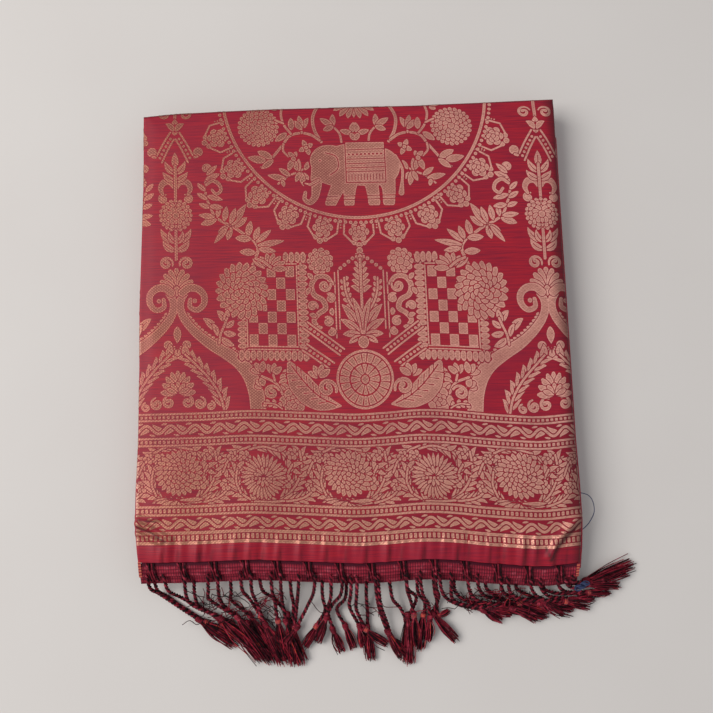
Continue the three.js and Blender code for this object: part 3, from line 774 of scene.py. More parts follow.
# Painted highlight: the gold turns pale along the left fold, the side that faces the window.
painted_gold_highlight = share_of(tree, across_piece, (block_x - 142.2) * MM, (block_x - 144.6) * MM, 0.6)
gold = mix_colour(tree, painted_gold_highlight, gold, srgb(240, 192, 172))
# Painted shade darkens the gold in the folds, creases and turned edges, and the cross border is duller.
coat(tree, Base_Color=paint_shade_and_dulling(tree, gold, srgb(58, 22, 20)))
bump(tree, lattice, 0.4, 0.0002)

# The medallion at the far end of the pallu: a ring of line and beads with roses, trefoils and angular tracery
# round it, of which a half shows before the far fold. Flowers, vines and a lotus fill it.
FIELD_HEAD = 163.5
field = Draft(threads(0, AXIS), threads(BORDER_TOP, FIELD_HEAD))
RING_V, RING_WIDE, RING_HIGH = 168.0, 91.5, 93.5
RING_UNIT = 13.9


def on_ring(angle, out=0.0):
    """A place on the ring, by the angle from its lowest point, and out from it."""
    turn = math.radians(angle)
    return np.array([(RING_WIDE + out) * math.sin(turn), RING_V - (RING_HIGH + out) * math.cos(turn)])


for k in range(6):
    middle = k * RING_UNIT
    for lean in (-1, 1):
        field.spot(on_ring(middle + 1.7 * lean, 17.4), 1.9, gap=0.4)
        if middle + lean * RING_UNIT / 2 < -1:
            continue
        gate = middle + lean * (RING_UNIT / 2 - 1.1)
        field.ribbon([on_ring(gate, 1), on_ring(gate - 0.2 * lean, 12)], 1.3)
        field.ribbon([on_ring(gate - 0.2 * lean, 12), on_ring(middle + 2.6 * lean, 17.0)], 1.3, gap=0)
        field.beads([on_ring(gate + 0.9 * lean, 3), on_ring(gate + 0.9 * lean, 9)], 0.6, 1.9)
    field.bloom(on_ring(middle, 9.8), 5.4, ((1, 6, 0.98), (0.62, 5, 0.95)), heart=0.26)
    field.spot(on_ring(middle, 19.2), 2.1, gap=0.4)
ring_line = [on_ring(a) for a in np.linspace(0, 84, 60)]
field.ribbon(ring_line, 2.1)
field.beads([on_ring(a, 3.4) for a in np.linspace(0, 84, 40)], 1.25, 3.5)

BROAD = (0.35, 0.85, 1, 0.9, 0.6, 0.1)  # the outline of a broad leaf, as shares of its width
POINTED = (0.35, 0.6, 0.85, 1, 0.8, 0.12)  # and of a long petal
LOTUS_RINGS = ((1, 24, 0.92), (0.8, 19, 0.92), (0.58, 13, 0.92), (0.36, 8, 0.9))
field.bloom((66.5, 139.5), 14.6, LOTUS_RINGS, heart=0.15)
for tip in ((-3, 147), (2, 145), (7.5, 145.5), (13, 147), (17, 151.5), (20.5, 155)):
    field.leaf(place_of(5, 160), place_of(*tip), 5.0, shape=(0.6, 0.9, 1, 0.95, 0.8, 0.15))
for points, wide in (
    ([(27, 128), (31, 136), (31.8, 146), (29.5, 152), (26, 157)], 2.3),
    ([(28, 129), (34, 133), (42, 134), (49, 131.5), (53, 126), (57, 121), (63, 114), (69, 109)], 1.9),
    ([(51, 158), (53.8, 148), (51.8, 139.5), (47.5, 133.5)], 1.7), ([(52.4, 141), (58, 143.5)], 1.5),
    ([(53, 126), (53.4, 121), (50, 117)], 1.5), ([(13, 128), (14, 134), (19, 140)], 1.6),
    ([(-4, 129), (0, 132.5), (8, 134.5)], 1.6), ([(40, 134), (40, 139)], 1.5),
    ([(38, 109.5), (44, 106), (50, 103.5), (58, 97.5)], 1.5),
):
    field.stem(on_paper(*points), wide)
for base, tip, wide in (
    ((62, 116), (71, 120.5), 5.4), ((66, 113.5), (78, 116), 5.6), ((61, 114), (69, 108), 4.4),
    ((51, 133.5), (58.5, 128), 4.8), ((40, 137), (35, 145.5), 4.2), ((40, 137), (41.5, 147), 4.6),
    ((40, 137), (46, 143.5), 4.2), ((47, 137), (47, 145), 4.6), ((18.5, 139.5), (18, 148.5), 4.4),
    ((19, 140), (27, 145), 4.6), ((18.5, 139), (25, 136.5), 4.4), ((6, 134.5), (4, 142.5), 4.2),
    ((6, 134.5), (13.5, 136.5), 4.2), ((6, 134), (4, 129.5), 3.8), ((50, 103.5), (57, 108.5), 4.0),
    ((53, 101), (65, 103.5), 4.6), ((44, 106), (43, 115.5), 4.2), ((39, 108), (35.5, 114), 3.8),
    ((42, 105.5), (36, 100.5), 3.8), ((42, 105.5), (40.5, 96), 4.4), ((43, 105.5), (46, 99), 3.6),
    ((55, 100), (54, 95.5), 3.0), ((37.5, 123.5), (33, 126.5), 3.8), ((37.5, 123.5), (39.5, 129), 3.8),
    ((37.5, 123.5), (42.5, 121), 3.8), ((37.5, 123.5), (35, 118), 3.6), ((46, 116.5), (44.5, 120.5), 3.4),
    ((46, 116.5), (50, 120), 3.6), ((46.5, 114.5), (44.5, 107), 4.0), ((47.5, 114.5), (50.5, 107), 4.4),
    ((56, 153), (60, 151.5), 3.4), ((56, 155), (64, 156.5), 4.4),
):
    field.leaf(*on_paper(base, tip), wide, shape=BROAD)
field.spot(place_of(37.5, 123.5), 1.4)
field.spot(place_of(46.6, 115.4), 1.7)

# The corner branches: a leafy branch climbs from each pair of chequered blocks, outside the medallion, with a
# cluster of blossom in its bend.
branch = on_paper((79, 38), (76, 45), (74, 52), (76.5, 57), (82, 61), (90, 66.5), (97, 70), (102, 73.5),
                  (105.5, 81), (108, 89), (108, 97), (105, 105))
field.stem(branch, (2.4, 2.1, 1.9, 1.7))
field.curl(place_of(106.8, 107.6), 3.4, 200, -1.1, 2.0)
for base, tip, wide in (
    ((73.6, 54), (56, 57.5), 4.6), ((74.5, 56.5), (64.5, 65), 4.4), ((76, 58.5), (72.5, 67), 4.4),
    ((73, 51.5), (62, 50), 4.6), ((80.5, 61), (78, 71), 5.0), ((79, 58.5), (89, 59), 5.2),
    ((76.5, 49), (86.5, 49.5), 5.2), ((77.5, 44.5), (70, 38), 4.0), ((92, 66), (94.5, 57.5), 4.6),
    ((93.5, 67), (101, 61.5), 4.6), ((94.5, 66), (103.5, 55), 4.0), ((88.5, 67), (80.5, 73.5), 4.8),
    ((90.5, 68.5), (81, 82.5), 5.4), ((92, 69.5), (88, 80), 4.2), ((96, 71), (94, 81), 4.4),
    ((100.5, 73.5), (99, 82), 3.8), ((102, 71.5), (112, 68), 5.2), ((103, 73.5), (113.5, 74.5), 4.2),
    ((106, 80), (113, 82.5), 3.8), ((107.5, 86), (114, 90), 3.8), ((108.5, 92), (113.5, 97), 3.6),
    ((105, 81), (96.5, 80), 4.2), ((107, 100), (98, 104), 4.6), ((106.5, 103.5), (99.5, 110), 3.8),
    ((106.5, 88), (96.5, 85.5), 4.2),
):
    field.leaf(*on_paper(base, tip), wide, shape=BROAD, rib=0.4)
tendril = on_paper((107.5, 96), (103, 99), (98.6, 96.5), (97.6, 92), (101, 89.5), (103.5, 92.5))
field.stem(tendril, (2.0, 2.8, 2.4, 2.0))

# The columns between the arches: curls, a bud, beaded chevron arms, a fleur, a dahlia and a shell, one above
# another, and below them a pair of broad scrolls that part like curtains over a palmette.
def by_axis(off, v):
    return np.array([AXIS - off, v])


field.stem([by_axis(0, 140), by_axis(0, 160)], 2.2)
for off, v, size, start, turns, wide in (
    (7.2, 149.6, 4.6, 20, 1.3, 1.9), (8.4, 88.5, 3.4, 60, 1.1, 2.2), (6.8, 43.2, 4.7, 340, 1.3, 2.1),
    (6.2, -51, 4.4, 60, 1.2, 2.1), (14.4, -52, 4.2, 100, 1.2, 2.1), (21.5, -54, 3.2, 100, 1.0, 1.8),
):
    field.curl(by_axis(off, v), size, start, turns, wide)
bud = [by_axis(0.4, 95), by_axis(3.6, 100.4), by_axis(8.0, 100), by_axis(10.2, 95.4), by_axis(8.6, 91.4)]
field.stem(bud, (2, 4, 4.6, 3.8, 2))
field.leaf(by_axis(0, 134.5), by_axis(0, 146), 6.8, rib=0.5)
field.leaf(by_axis(1, 137), by_axis(6.6, 142.5), 4.2, bend=-0.15)
for rail in ([by_axis(3.2, 136), by_axis(8.2, 127.6), by_axis(13.4, 117.4)],
             [by_axis(0.6, 131), by_axis(4.8, 123.4), by_axis(9.0, 114.4)]):
    field.stem(rail, 1.4)
field.beads([by_axis(2.2, 132.6), by_axis(6.4, 125.4), by_axis(10.8, 116.6)], 1.05, 3.1)
field.spot(by_axis(16.0, 121.8), 3.3)
field.stem([by_axis(13.6, 118), by_axis(15.5, 118.6)], 1.8)
for off, v, base, wide in ((0, 121.5, 110, 5.2), (7.0, 115.5, 106, 4.6), (8.6, 107.6, 101, 4.8)):
    field.leaf(by_axis(0, base), by_axis(off, v), wide, bend=0.12 if off else 0, rib=0.5)
field.stem([by_axis(0, 86), by_axis(0, 112)], 2.0)
field.bloom(by_axis(0, 76.7), 11.6, ((1, 20, 0.92), (0.78, 15, 0.92), (0.52, 9, 0.92)), heart=0.2)
for off, v, base, wide in ((10.4, 67.5, 58, 5.4), (9.0, 59.5, 52, 5.0), (4.6, 66, 57, 4.2)):
    field.leaf(by_axis(0, base), by_axis(off, v), wide, bend=0.16, rib=0.5)
field.stem([by_axis(0, 46), by_axis(0, 66)], 2.0)
SHELL = (0.2, 0.5, 0.8, 1, 1, 0.7)
FAN = (0.2, 0.5, 0.8, 1, 0.95, 0.5)
field.petals(by_axis(0, 24.5), 1.5, 14, 9, 4.6, start=4, sweep=172, squash=(0.78, 1), shape=SHELL)
field.leaf(by_axis(0, 27), by_axis(0, 20.5), 5.0)
scroll = [(119.0, 22.5), (121.6, 18), (122.0, 12), (120.4, 7.0), (115.2, -0.6), (104.3, -10.8), (91.2, -19.3),
          (82.2, -26.4), (76.2, -35), (72.8, -45), (71.2, -58)]
SCROLL_WIDE = (5.2, 5.6, 6.4, 8.0, 9.4, 10.2, 10.4)
scroll_line = bend_through(scroll, 3.0)
scroll_half = np.interp(np.linspace(0, 1, len(scroll_line)), np.linspace(0, 1, 7), SCROLL_WIDE) / 2
for k in range(5, len(scroll_line) - 1):
    way = scroll_line[k + 1] - scroll_line[k - 1]
    way = way / np.hypot(*way)
    outward = np.array([way[1], -way[0]])
    rim_at = scroll_line[k] + outward * scroll_half[k]
    field.leaf(rim_at - outward, rim_at + 2.2 * outward + 1.4 * way, 2.9, gap=0.4)
field.stem(scroll, SCROLL_WIDE)
hook = [(120.5, 23), (116.5, 26.2), (110.5, 25.8), (106.1, 21.4), (106.2, 15.2), (110.4, 11.2), (115.4, 13.2),
        (115.2, 18.2)]
field.stem(hook, (5.6, 5.2, 4.6, 3.8, 3.0))
field.spot((112.2, 17.4), 1.6)
field.leaf(by_axis(0, -0.5), by_axis(0, -11.5), 5.6)
field.petals(by_axis(0, -14), 0.5, 7.6, 5, 4.2, start=-160, sweep=140, shape=(0.3, 0.6, 0.9, 1, 0.95, 0.5))
field.spot(by_axis(6.2, -12.6), 3.0)
garland = [by_axis(31, -60), by_axis(28, -48), by_axis(21, -36), by_axis(13, -27), by_axis(5, -19)]
field.spray(garland, 11.4, 5.2, 6.4, lean=33, stalk=1.5, first=0.2, fade=0.9, rib=0.4)
field.petals(by_axis(0, -45.5), 1.0, 14.5, 9, 4.6, start=4, sweep=172, squash=(0.74, 1), shape=FAN)
field.petals(by_axis(0, -45.5), 1.0, 7.5, 5, 3.4, start=25, sweep=130, shape=(0.2, 0.5, 0.8, 1, 0.9, 0.5))

# The chequered blocks, each framed with scallops, and the great chrysanthemum that lies over each one's edge.
# The flower hides the far right corner of the frame, so some of the scallops and lines stop short of it.
BLOCK_LEFT, BLOCK_RIGHT, BLOCK_FOOT, BLOCK_HEAD = 36.1, 83.6, -24.2, 50.6
HIDDEN_ACROSS, HIDDEN_ALONG = 54, 8
SCALLOP = 3.9
for k in range(int((BLOCK_HEAD - BLOCK_FOOT) / SCALLOP)):
    v = BLOCK_FOOT + SCALLOP * (k + 0.55)
    field.spot((BLOCK_LEFT + 3.3, v), (3.6, SCALLOP / 2), gap=0.35)
    if v < HIDDEN_ALONG:
        field.spot((BLOCK_RIGHT - 3.0, v), (3.3, SCALLOP / 2), gap=0.35)
for k in range(int((BLOCK_RIGHT - BLOCK_LEFT) / SCALLOP)):
    u = BLOCK_LEFT + SCALLOP * (k + 0.62)
    field.spot((u, BLOCK_FOOT + 3.6), (SCALLOP / 2, 3.9), gap=0.35)
    if u < HIDDEN_ACROSS:
        field.spot((u, BLOCK_HEAD - 3.6), (SCALLOP / 2, 4.0), gap=0.35)
for a, b in (((43.2, -15.2), (43.2, 43)), ((43.2, -14.6), (77.2, -14.6)), ((43.2, -16.6), (77.2, -16.6)),
             ((77.2, -15), (77.2, 8)), ((43.2, 42.6), (58, 42.6))):
    field.ribbon([a, b], 0.95, gap=0.4)
FIRST_CELL = np.array([44.6, -14.0])  # its lower left corner
CELL = np.array([6.3, 7.9])
CELL_GOLD = CELL / 2 - 0.15
for row in range(7):
    for column in range(row % 2, 5, 2):
        field.box(FIRST_CELL + CELL * (column + 0.5, row + 0.5), *CELL_GOLD, gap=0.3)
field.petals(place_of(66, 38), 1, 10.5, 6, 4.4, start=50, sweep=130, shape=(0.3, 0.7, 1, 1, 0.8, 0.3))
field.stem(on_paper((66, 39), (71, 43), (76, 45)), 1.8)
SHARP = (0.4, 0.7, 0.95, 1, 0.7, 0.05)  # a petal of a chrysanthemum
FLOWER_RINGS = ((1, 21, 0.98), (0.7, 15, 0.98), (0.45, 10, 0.96), (0.24, 6, 0.95))
field.bloom((80.3, 24.2), 20.6, FLOWER_RINGS, heart=0.08, squash=(0.94, 1.05), tuck_in=0.5, shape=SHARP,
            gap=0.55)
for base, tip, wide in (
    ((98, 0), (103.5, 8), 5.2), ((105, -6), (113, 2.5), 5.4), ((98, -3), (92.5, 1.5), 4.2),
    ((99, -7), (91.5, -8), 4.6), ((101, -11), (93, -16), 4.8), ((104, -9), (107, -1), 3.8),
    ((99, 1), (96.5, 9), 4.2),
):
    field.leaf(*on_paper(base, tip), wide, bend=0.08, rib=0.45, shape=BROAD)
field.stem(on_paper((103, -15), (102, -9), (99, -2), (97, 3)), 1.6)

# The pavilion in the middle: a beaded roof over a plant with fan leaves, vines and hanging flowers at its
# sides, and a wheel under two beaded arms. Feathers, buds and trumpet flowers lie below the blocks.
field.spot((0, 51.5), (2.2, 2.6))
field.beads([(0.8, 49.6), (15.4, 38)], 1.35, 3.6)
for u, low, high in ((15.2, -2, 38), (17.6, -8, 36.5)):
    field.ribbon([(u, low), (u, high)], 1.0)
for k in range(6):
    v = 22.5 + 4.2 * k
    field.leaf((0, v), (7.0 - 0.75 * k, v + 4.6), 4.0, bend=0.14, shape=BROAD)
field.leaf((0, 43), (0, 49.5), 4.0)
field.stem([(0, -8), (0, 46)], 1.8)
field.spray([(4.5, 10), (8.5, 17), (10.8, 25), (11.2, 33)], 5.0, 3.4, 4.2, lean=50, stalk=1.4)
for tip, wide in (
    ((13.2, 14.5), 6.0), ((14.4, 4.5), 5.4), ((13.2, -5.5), 5.0), ((5.8, 19), 4.6), ((9.5, -11.5), 4.0),
):
    field.leaf((0.6, -6.5), tip, wide, bend=0.06, rib=0.6, shape=(0.3, 0.6, 0.95, 1, 0.75, 0.15))
field.spot((0, -10.8), (3.6, 4.2))
field.bloom((27, 44.4), 8.6, ((1, 11, 0.96), (0.68, 8, 0.95)), heart=0.3, squash=(0.95, 1))
vine = [(19.5, 29), (23, 33.5), (29.5, 33.5), (33.4, 28), (31.5, 21), (26, 17.5), (24.5, 12), (29, 8.5),
        (32.5, 3.5), (29, -2)]
field.stem(vine, (3.0, 3.6, 3.8, 3.6, 3.2))
for centre, size, start, turns in (
    ((24.5, 27.5), 4.2, 160, 1.1), ((33, 13.5), 3.4, 200, -1.1), ((21, 19), 3.4, 60, 1.0),
    ((23, 3), 3.4, 60, 1.1), ((21, -4), 2.6, 90, 1.0),
):
    field.curl(centre, size, start, turns, 2.3)
for base, tip in (
    ((33, 32), (36, 36)), ((34, 26), (36.5, 21)), ((31, 6), (35.6, 7.5)), ((27, -1), (33, -4)),
    ((20, 12), (19.5, 7)),
):
    field.leaf(base, tip, 3.6, bend=0.12)
for start, end in (((38.5, 0.5), (14.5, -17.5)), ((39.5, -14.5), (21.5, -27))):
    start, end = np.array(start), np.array(end)
    across_it = np.array([start[1] - end[1], end[0] - start[0]])
    across_it = across_it / np.hypot(*across_it)
    for side in (-2.6, 2.6):
        field.ribbon([start + across_it * side, end + across_it * side], 1.3)
    field.beads([start, end], 1.1, 3.0)
WHEEL = np.array([-0.6, -35.8])
WHEEL_STRETCH = 1.02


def from_hub(angle, radius):
    return WHEEL + radius * np.array([math.sin(angle), WHEEL_STRETCH * math.cos(angle)])


field.spot(WHEEL, (19.6, 20.0))
for radius, wide in ((17.6, 0.8), (10.6, 0.9), (3.4, 0.7)):
    field.ribbon([from_hub(angle, radius) for angle in np.linspace(0, 2 * math.pi, 60)], wide, cut=True)
for spokes, inner, outer in ((20, 11.2, 16.6), (12, 3.8, 9.8)):
    for k in range(spokes):
        angle = 2 * math.pi * (k + 0.5) / spokes
        field.ribbon([from_hub(angle, inner), from_hub(angle, outer)], (0.4, 0.8), cut=True)
for centre, start, sweep, reach in (
    ((61.5, -33), 150, 120, 6.5), ((68, -33.5), 60, 80, 7.5), ((75.5, -33), 10, 90, 7.5),
    ((64, -41), 130, 110, 6.5), ((75, -42), -10, 90, 5.5), ((63, -47.5), 150, 80, 4.5),
):
    field.petals(place_of(*centre), 0.4, reach, 3, 4.6, start=start, sweep=sweep, shape=BROAD)
field.stem(on_paper((57, -55), (62, -47), (66, -40), (75.5, -36)), 1.7)
field.stem(on_paper((68, -34), (67, -38)), 1.5)
field.curl(place_of(69.5, -46), 5.0, 160, -1.2, 2.5)
field.bloom(place_of(56, -50.5), 6.4, ((1, 5, 0.98), (0.55, 5, 0.9)), heart=0.2)
field.spray(on_paper((63, -56), (68, -53.5), (75, -54)), 4.2, 3.0, 4.0)
feather = on_paper((24.5, -52.5), (34, -50.5), (43, -46), (50, -38.5), (56.5, -26))
field.stem(feather, (1.5, 8, 14, 16.5, 16, 11, 4))
field.stem(on_paper((27, -52), (36, -47.5), (44, -41), (50.5, -33.5), (55.5, -27)), 0.7, cut=True)
for x, y in ((32, -49.5), (37, -47), (41.5, -43.5), (45.5, -39.6), (49, -35.5), (52, -31.5)):
    field.ribbon(on_paper((x, y), (x + 0.6, y + 6.4)), (0.3, 0.7), cut=True)
    field.ribbon(on_paper((x, y), (x + 6.8, y - 1.0)), (0.3, 0.7), cut=True)
field.petals(place_of(37, -33.5), 0.5, 8.6, 4, 4.8, start=22, sweep=120, shape=BROAD)
field.curl(place_of(32.5, -41), 6.2, 200, -1.2, 3.0)

# The half repeat is turned over at the middle, and again at each side, where the design runs on to the edge.
LEFT_THREADS, RIGHT_THREADS = 312, 292
turned_over = np.abs(np.arange(-LEFT_THREADS, RIGHT_THREADS + 1))
turned_over = np.where(turned_over > HALF_REPEAT, 2 * HALF_REPEAT - turned_over, turned_over)
whole = Draft(threads(-LEFT_THREADS * THREAD, RIGHT_THREADS * THREAD), field.v, field.field[:, turned_over])

# The elephant walks to the left under the ring, in the middle of the field. It wears a striped saddle cloth
# with a fringe, and rings at its feet. It is woven once, with a fine line of bare silk left round it.
where, u, v = whole.window(on_paper((-40, 76), (44, 134)), 0)
creature = Draft(u[0], v[:, 0])
for points, wide in (
    ([(-12, 111), (0, 112), (14, 111.5), (20.5, 110)], (27, 30, 31, 27)),
    ([(-12, 113.5), (-17, 115), (-19, 112)], (26, 22, 15)),
    ([(-19, 111), (-22.6, 103.5), (-23.4, 95), (-24.8, 88.8), (-28, 85.8), (-31.2, 88), (-30.8, 93)],
     (15, 10, 7.6, 6.2, 4.6, 3.2, 2.4)),
    ([(-4, 104), (-9.5, 94), (-13.6, 85)], (14, 9.5, 7.6)),
    ([(1, 104), (-0.6, 94), (-1, 85)], (11, 8.6, 7.2)), ([(13, 104), (15, 94), (16, 85)], (11, 8.8, 8.2)),
    ([(23, 106), (26, 95), (26, 85)], (15, 9.4, 8.2)),
    ([(31, 117), (35.5, 108), (35.2, 98), (34.6, 91)], (2.6, 1.9, 1.8, 4.0)),
):
    creature.ribbon(bend_through(on_paper(*points)), wide, gap=0)
creature.stem(on_paper((-17, 121), (-9.5, 118), (-8.6, 109), (-13.5, 105)), 0.6, cut=True)
creature.spot(place_of(-20.6, 115.4), 0.6, cut=True)
creature.ribbon(on_paper((-22, 101.5), (-27.4, 98.5), (-31, 99.5)), (2.2, 1.8, 1.0), gap=0.5)
creature.box(place_of(10.5, 113.5), 13.2, 14.2, gap=0.6, margin=1.8)
SOLES = 83.0
creature.field = np.maximum(creature.field, SOLES - v)
for y_line in (122.6, 115.8, 112.6, 109.6, 106.8):
    creature.ribbon(on_paper((-2.2, y_line), (23.2, y_line)), 0.55, cut=True)
for k in range(9):
    creature.spot(place_of(-0.6 + 2.75 * k, 119.2), 0.7, cut=True)
for k in range(12):
    x = -0.9 + 2.1 * k
    creature.ribbon(on_paper((x, 105), (x, 100.6)), 0.5, cut=True)
for foot in (-13.6, -1, 16, 26):
    for y_line in (89.6, 87.2):
        creature.ribbon(on_paper((foot - 5, y_line), (foot + 5, y_line)), 0.5, cut=True)
BARE_ROUND_IT = 1.0
whole.put(where, creature.field - BARE_ROUND_IT, cut=True)

HALVES_MEET = 51.0
for name, rows in (
    ("zari_far_half", whole.v > HALVES_MEET - THREAD), ("zari_near_half", whole.v <= HALVES_MEET),
):
    weave_in(name, Draft(whole.u, whole.v[rows], whole.field[rows]))
weave_in("zari_elephant", creature)

# The cross border, woven in one with the field in the same zari: four chequered guard stripes, two waves of
# leaves, and a band of chrysanthemums among dense foliage.
LEFT_END, RIGHT_END = -153.0, 140.0
border = Draft(threads(LEFT_END, RIGHT_END), threads(BORDER_FOOT, BORDER_TOP))
FLOWER_PITCH, FIRST_FLOWER = 55.5, -124.5
for k in range(-1, 5):
    u = FIRST_FLOWER + FLOWER_PITCH * k
    top_spray = [(u - 9, -84), (u, -82), (u + 9, -84)]
    if k % 2 == 0:
        top_spray = [(u - 16, -84), (u - 8, -80.5), (u + 2, -81), (u + 9, -82.5)]
    for points in (
        [(u + 9, -117), (u + 16, -112), (u + 22, -104), (u + 25, -95), (u + 24, -84)],
        [(u + 10, -117), (u + 19, -116), (u + 29, -112), (u + 34, -105), (u + 36, -97)],
        [(u + 47, -82), (u + 39, -85), (u + 33, -90), (u + 29, -98)],
        [(u + 48, -117), (u + 41, -112), (u + 38, -105), (u + 41, -97)],
        [(u + 10, -83), (u + 15, -88), (u + 18, -95)],
        [(u + 17, -106), (u + 16, -99), (u + 19, -93)],
        top_spray,
        [(u + 13, -116.5), (u + 4, -117.5), (u - 6, -117.5)], [(u - 15, -112), (u - 18, -104), (u - 17, -96)],
    ):
        border.spray(points, 9.6, 3.3, 3.9, lean=34, stalk=1.4, fade=0.95)
    for place_u, place_v, size in (
        (14.5, -104, 4.0), (43, -89, 3.9), (31, -106, 3.4), (19, -86, 3.4), (35.5, -88, 3.0),
    ):
        border.bloom((u + place_u, place_v), size, ((1, 6, 0.92),), heart=0.3)
    if k % 2:
        heart = np.array([u, -101.5])
        border.petals(heart, 2.5, 15.2, 17, 2.5, start=-14, sweep=208, shape=POINTED, gap=0.5)
        border.petals(heart + (0, -1.5), 2.5, 13.2, 12, 2.9, start=196, sweep=148, shape=POINTED, gap=0.5)
        border.petals(heart, 1.0, 6.2, 11, 2.1, gap=0.45)
        border.beads([heart - (8.5, 1.2), heart + (8.5, -1.2)], 0.95, 2.4)
    else:
        border.petals(np.array([u, -115.0]), 0.5, 9.5, 9, 2.6, start=-185, sweep=190, squash=(1.7, 0.5),
                      shape=POINTED)
        border.bloom((u, -97.6), 16.2, ((1, 24, 0.97), (0.68, 17, 0.97), (0.46, 12, 0.95), (0.26, 7, 0.95)),
                     heart=0.09, squash=(1.06, 1.0), tuck_in=0.5, shape=SHARP, gap=0.5)


def straight_across(v, wide, cut=False):
    border.ribbon([(LEFT_END, v), (RIGHT_END, v)], wide, cut=cut)


CLEARED = 0.8  # how much wider than a stripe the silk is bare
SQUARE_PITCH, SQUARE_HALF = 3.0, 1.0
for top, bottom, line_wide in (
    (-58.2, -63.8, 1.35), (-74.3, -80.2, 1.35), (-118.5, -125.2, 1.5), (-135.0, -143.4, 2.0),
):
    middle = (top + bottom) / 2
    straight_across(middle, top - bottom + CLEARED, cut=True)
    for v in (top - line_wide / 2, bottom + line_wide / 2):
        straight_across(v, line_wide)
    square_high = (top - bottom) / 2 - line_wide - 0.55
    for u in np.arange(LEFT_END + 1, RIGHT_END, SQUARE_PITCH):
        border.box((u, middle), SQUARE_HALF, square_high, gap=0)
WAVE = 16.2
WAVE_LEAF = (0.1, 0.6, 0.95, 1, 0.7, 0.08)
for top, bottom, shift in ((-64.9, -73.2, 0.0), (-126.4, -134.2, 6.0)):
    middle, high = (top + bottom) / 2, (top - bottom) / 2
    straight_across(middle, 2 * high + CLEARED, cut=True)
    for k, crest in enumerate(np.arange(-160 + (shift + 160) % WAVE, 146, WAVE / 2)):
        up = -1 if k % 2 else 1
        border.leaf((crest - 4.2, middle - up * high * 0.92), (crest + 4.6, middle + up * high * 0.08), 3.5,
                    bend=0.14 * up, gap=0.4, shape=WAVE_LEAF)
        border.leaf((crest - 6.4, middle + up * high * 0.72), (crest - 1.8, middle + up * high * 0.96), 1.5,
                    bend=0.05 * up, gap=0.4, shape=WAVE_LEAF)
    u = np.arange(LEFT_END, RIGHT_END, 0.9)
    swing = 0.64 * high * np.cos(2 * np.pi * (u - shift) / WAVE)
    border.ribbon(np.stack([u, middle + swing], -1), 1.8, gap=0.7)
weave_in("zari_border", border)

# The heading: past the plain end the warp ends are worked into a ladder of maroon thread, with small ribs
# across and a dark double rib at its top. A second one, on the layer below, shows past the first.
HEADING, LOWER_SHOW, HEM_GAP = 9.0, 5.2, 0.3
RIB_PITCH, ROW_PITCH = 1.6, 2.3
ROWS_FROM, ROWS_STOP = 2.2, 0.8  # where the ladder starts below the hem, and stops above the heading's foot
IN_FROM_EDGE, SUNK = 0.4, 0.45
HEADING_GATHER = 20.4


def thread_finish(name, dark, light, bright):
    """Dyed thread, uneven in colour along the yarn: the material, its tree and its colour."""
    finish, tree = finish_of(name, Roughness=0.6, Specular_IOR_Level=0.16)
    dyed = noise(tree, 1.0, 3.0, stretched(tree, (120, 320, 160)), Roughness=0.7)
    colour = mix_colour(tree, share_of(tree, dyed, 0.35, 0.62), dark, light)
    fleck = noise(tree, 260.0, 2.0)
    colour = mix_colour(tree, share_of(tree, fleck, 0.54, 0.68, 0.8), colour, bright)
    coat(tree, Base_Color=colour)
    bump(tree, fleck, 0.5, 0.0003)
    return finish, tree, colour


ladder_finish, tree, ladder_colour = thread_finish(
    "ladder_thread", srgb(130, 29, 46), srgb(162, 42, 60), srgb(180, 76, 90),
)
RIB_WAVES, ROW_WAVES = 196.0, 137.0  # the scales at which bands lie at the ribs' and the rows' pitch
for scale, direction, dark_share in ((RIB_WAVES, "X", 0.75), (ROW_WAVES, "Y", 0.5)):
    bands = waves(tree, scale, on_weave(tree), bands_direction=direction)
    groove = share_of(tree, bands, 0.45, 0.05, dark_share)
    ladder_colour = mix_colour(tree, groove, ladder_colour, srgb(58, 8, 26))
down_heading = node(tree, "ShaderNodeSeparateXYZ", Vector=on_weave(tree)).outputs["Y"]
top_rib = share_of(tree, down_heading, 2.1 * MM, 1.8 * MM)
ladder_colour = mix_colour(tree, top_rib, ladder_colour, srgb(74, 14, 32))
coat(tree, Base_Color=ladder_colour)

for name, start, depth, level, node_name in (
    ("heading_upper", HEM - HEM_GAP, HEADING, TOP_Z + 0.45, "fringe_upper"),
    ("heading_lower", HEM - UNDER_LAP - HEM_GAP, HEADING + LOWER_SHOW - UNDER_LAP, UNDER_Z, "fringe_lower"),
):
    down = np.linspace(0, depth, 36)[:, None]
    y = start - down
    low, high = left_edge(y) + IN_FROM_EDGE, right_edge(y) - IN_FROM_EDGE
    x = low + (high - low) * np.linspace(0, 1, 560)
    along_band = weft(x, y)
    rung = 0.5 + 0.5 * np.cos(2 * np.pi * x / RIB_PITCH)
    rows = 0.7 - 0.5 * np.cos(2 * np.pi * (down - 1 - ROWS_FROM) / ROW_PITCH)
    ladder = np.where((down > ROWS_FROM) & (down < depth - ROWS_STOP), 0.4 * rung * rows, 0.0)
    double_rib = 0.55 * (bell(down - 0.5, 0.33) + bell(down - 1.5, 0.33))
    double_rib = double_rib * (0.85 + 0.15 * np.cos(2 * np.pi * (x + 0.7 * down) / 1.1))
    bound = 0.4 * bell(down - depth + 0.4, 0.35)
    gathers = 0.45 * np.cos(2 * np.pi * x / HEADING_GATHER + 0.6 * np.sin(x / 14)) * smooth(down, 0, depth)
    height = level - droop(along_band) + ladder + double_rib + bound + gathers - SUNK
    heading = piece(name, np.stack([x, along_band, height], -1), grid_faces(*x.shape), ladder_finish,
                    uv=(x, down))
    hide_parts(node_name)

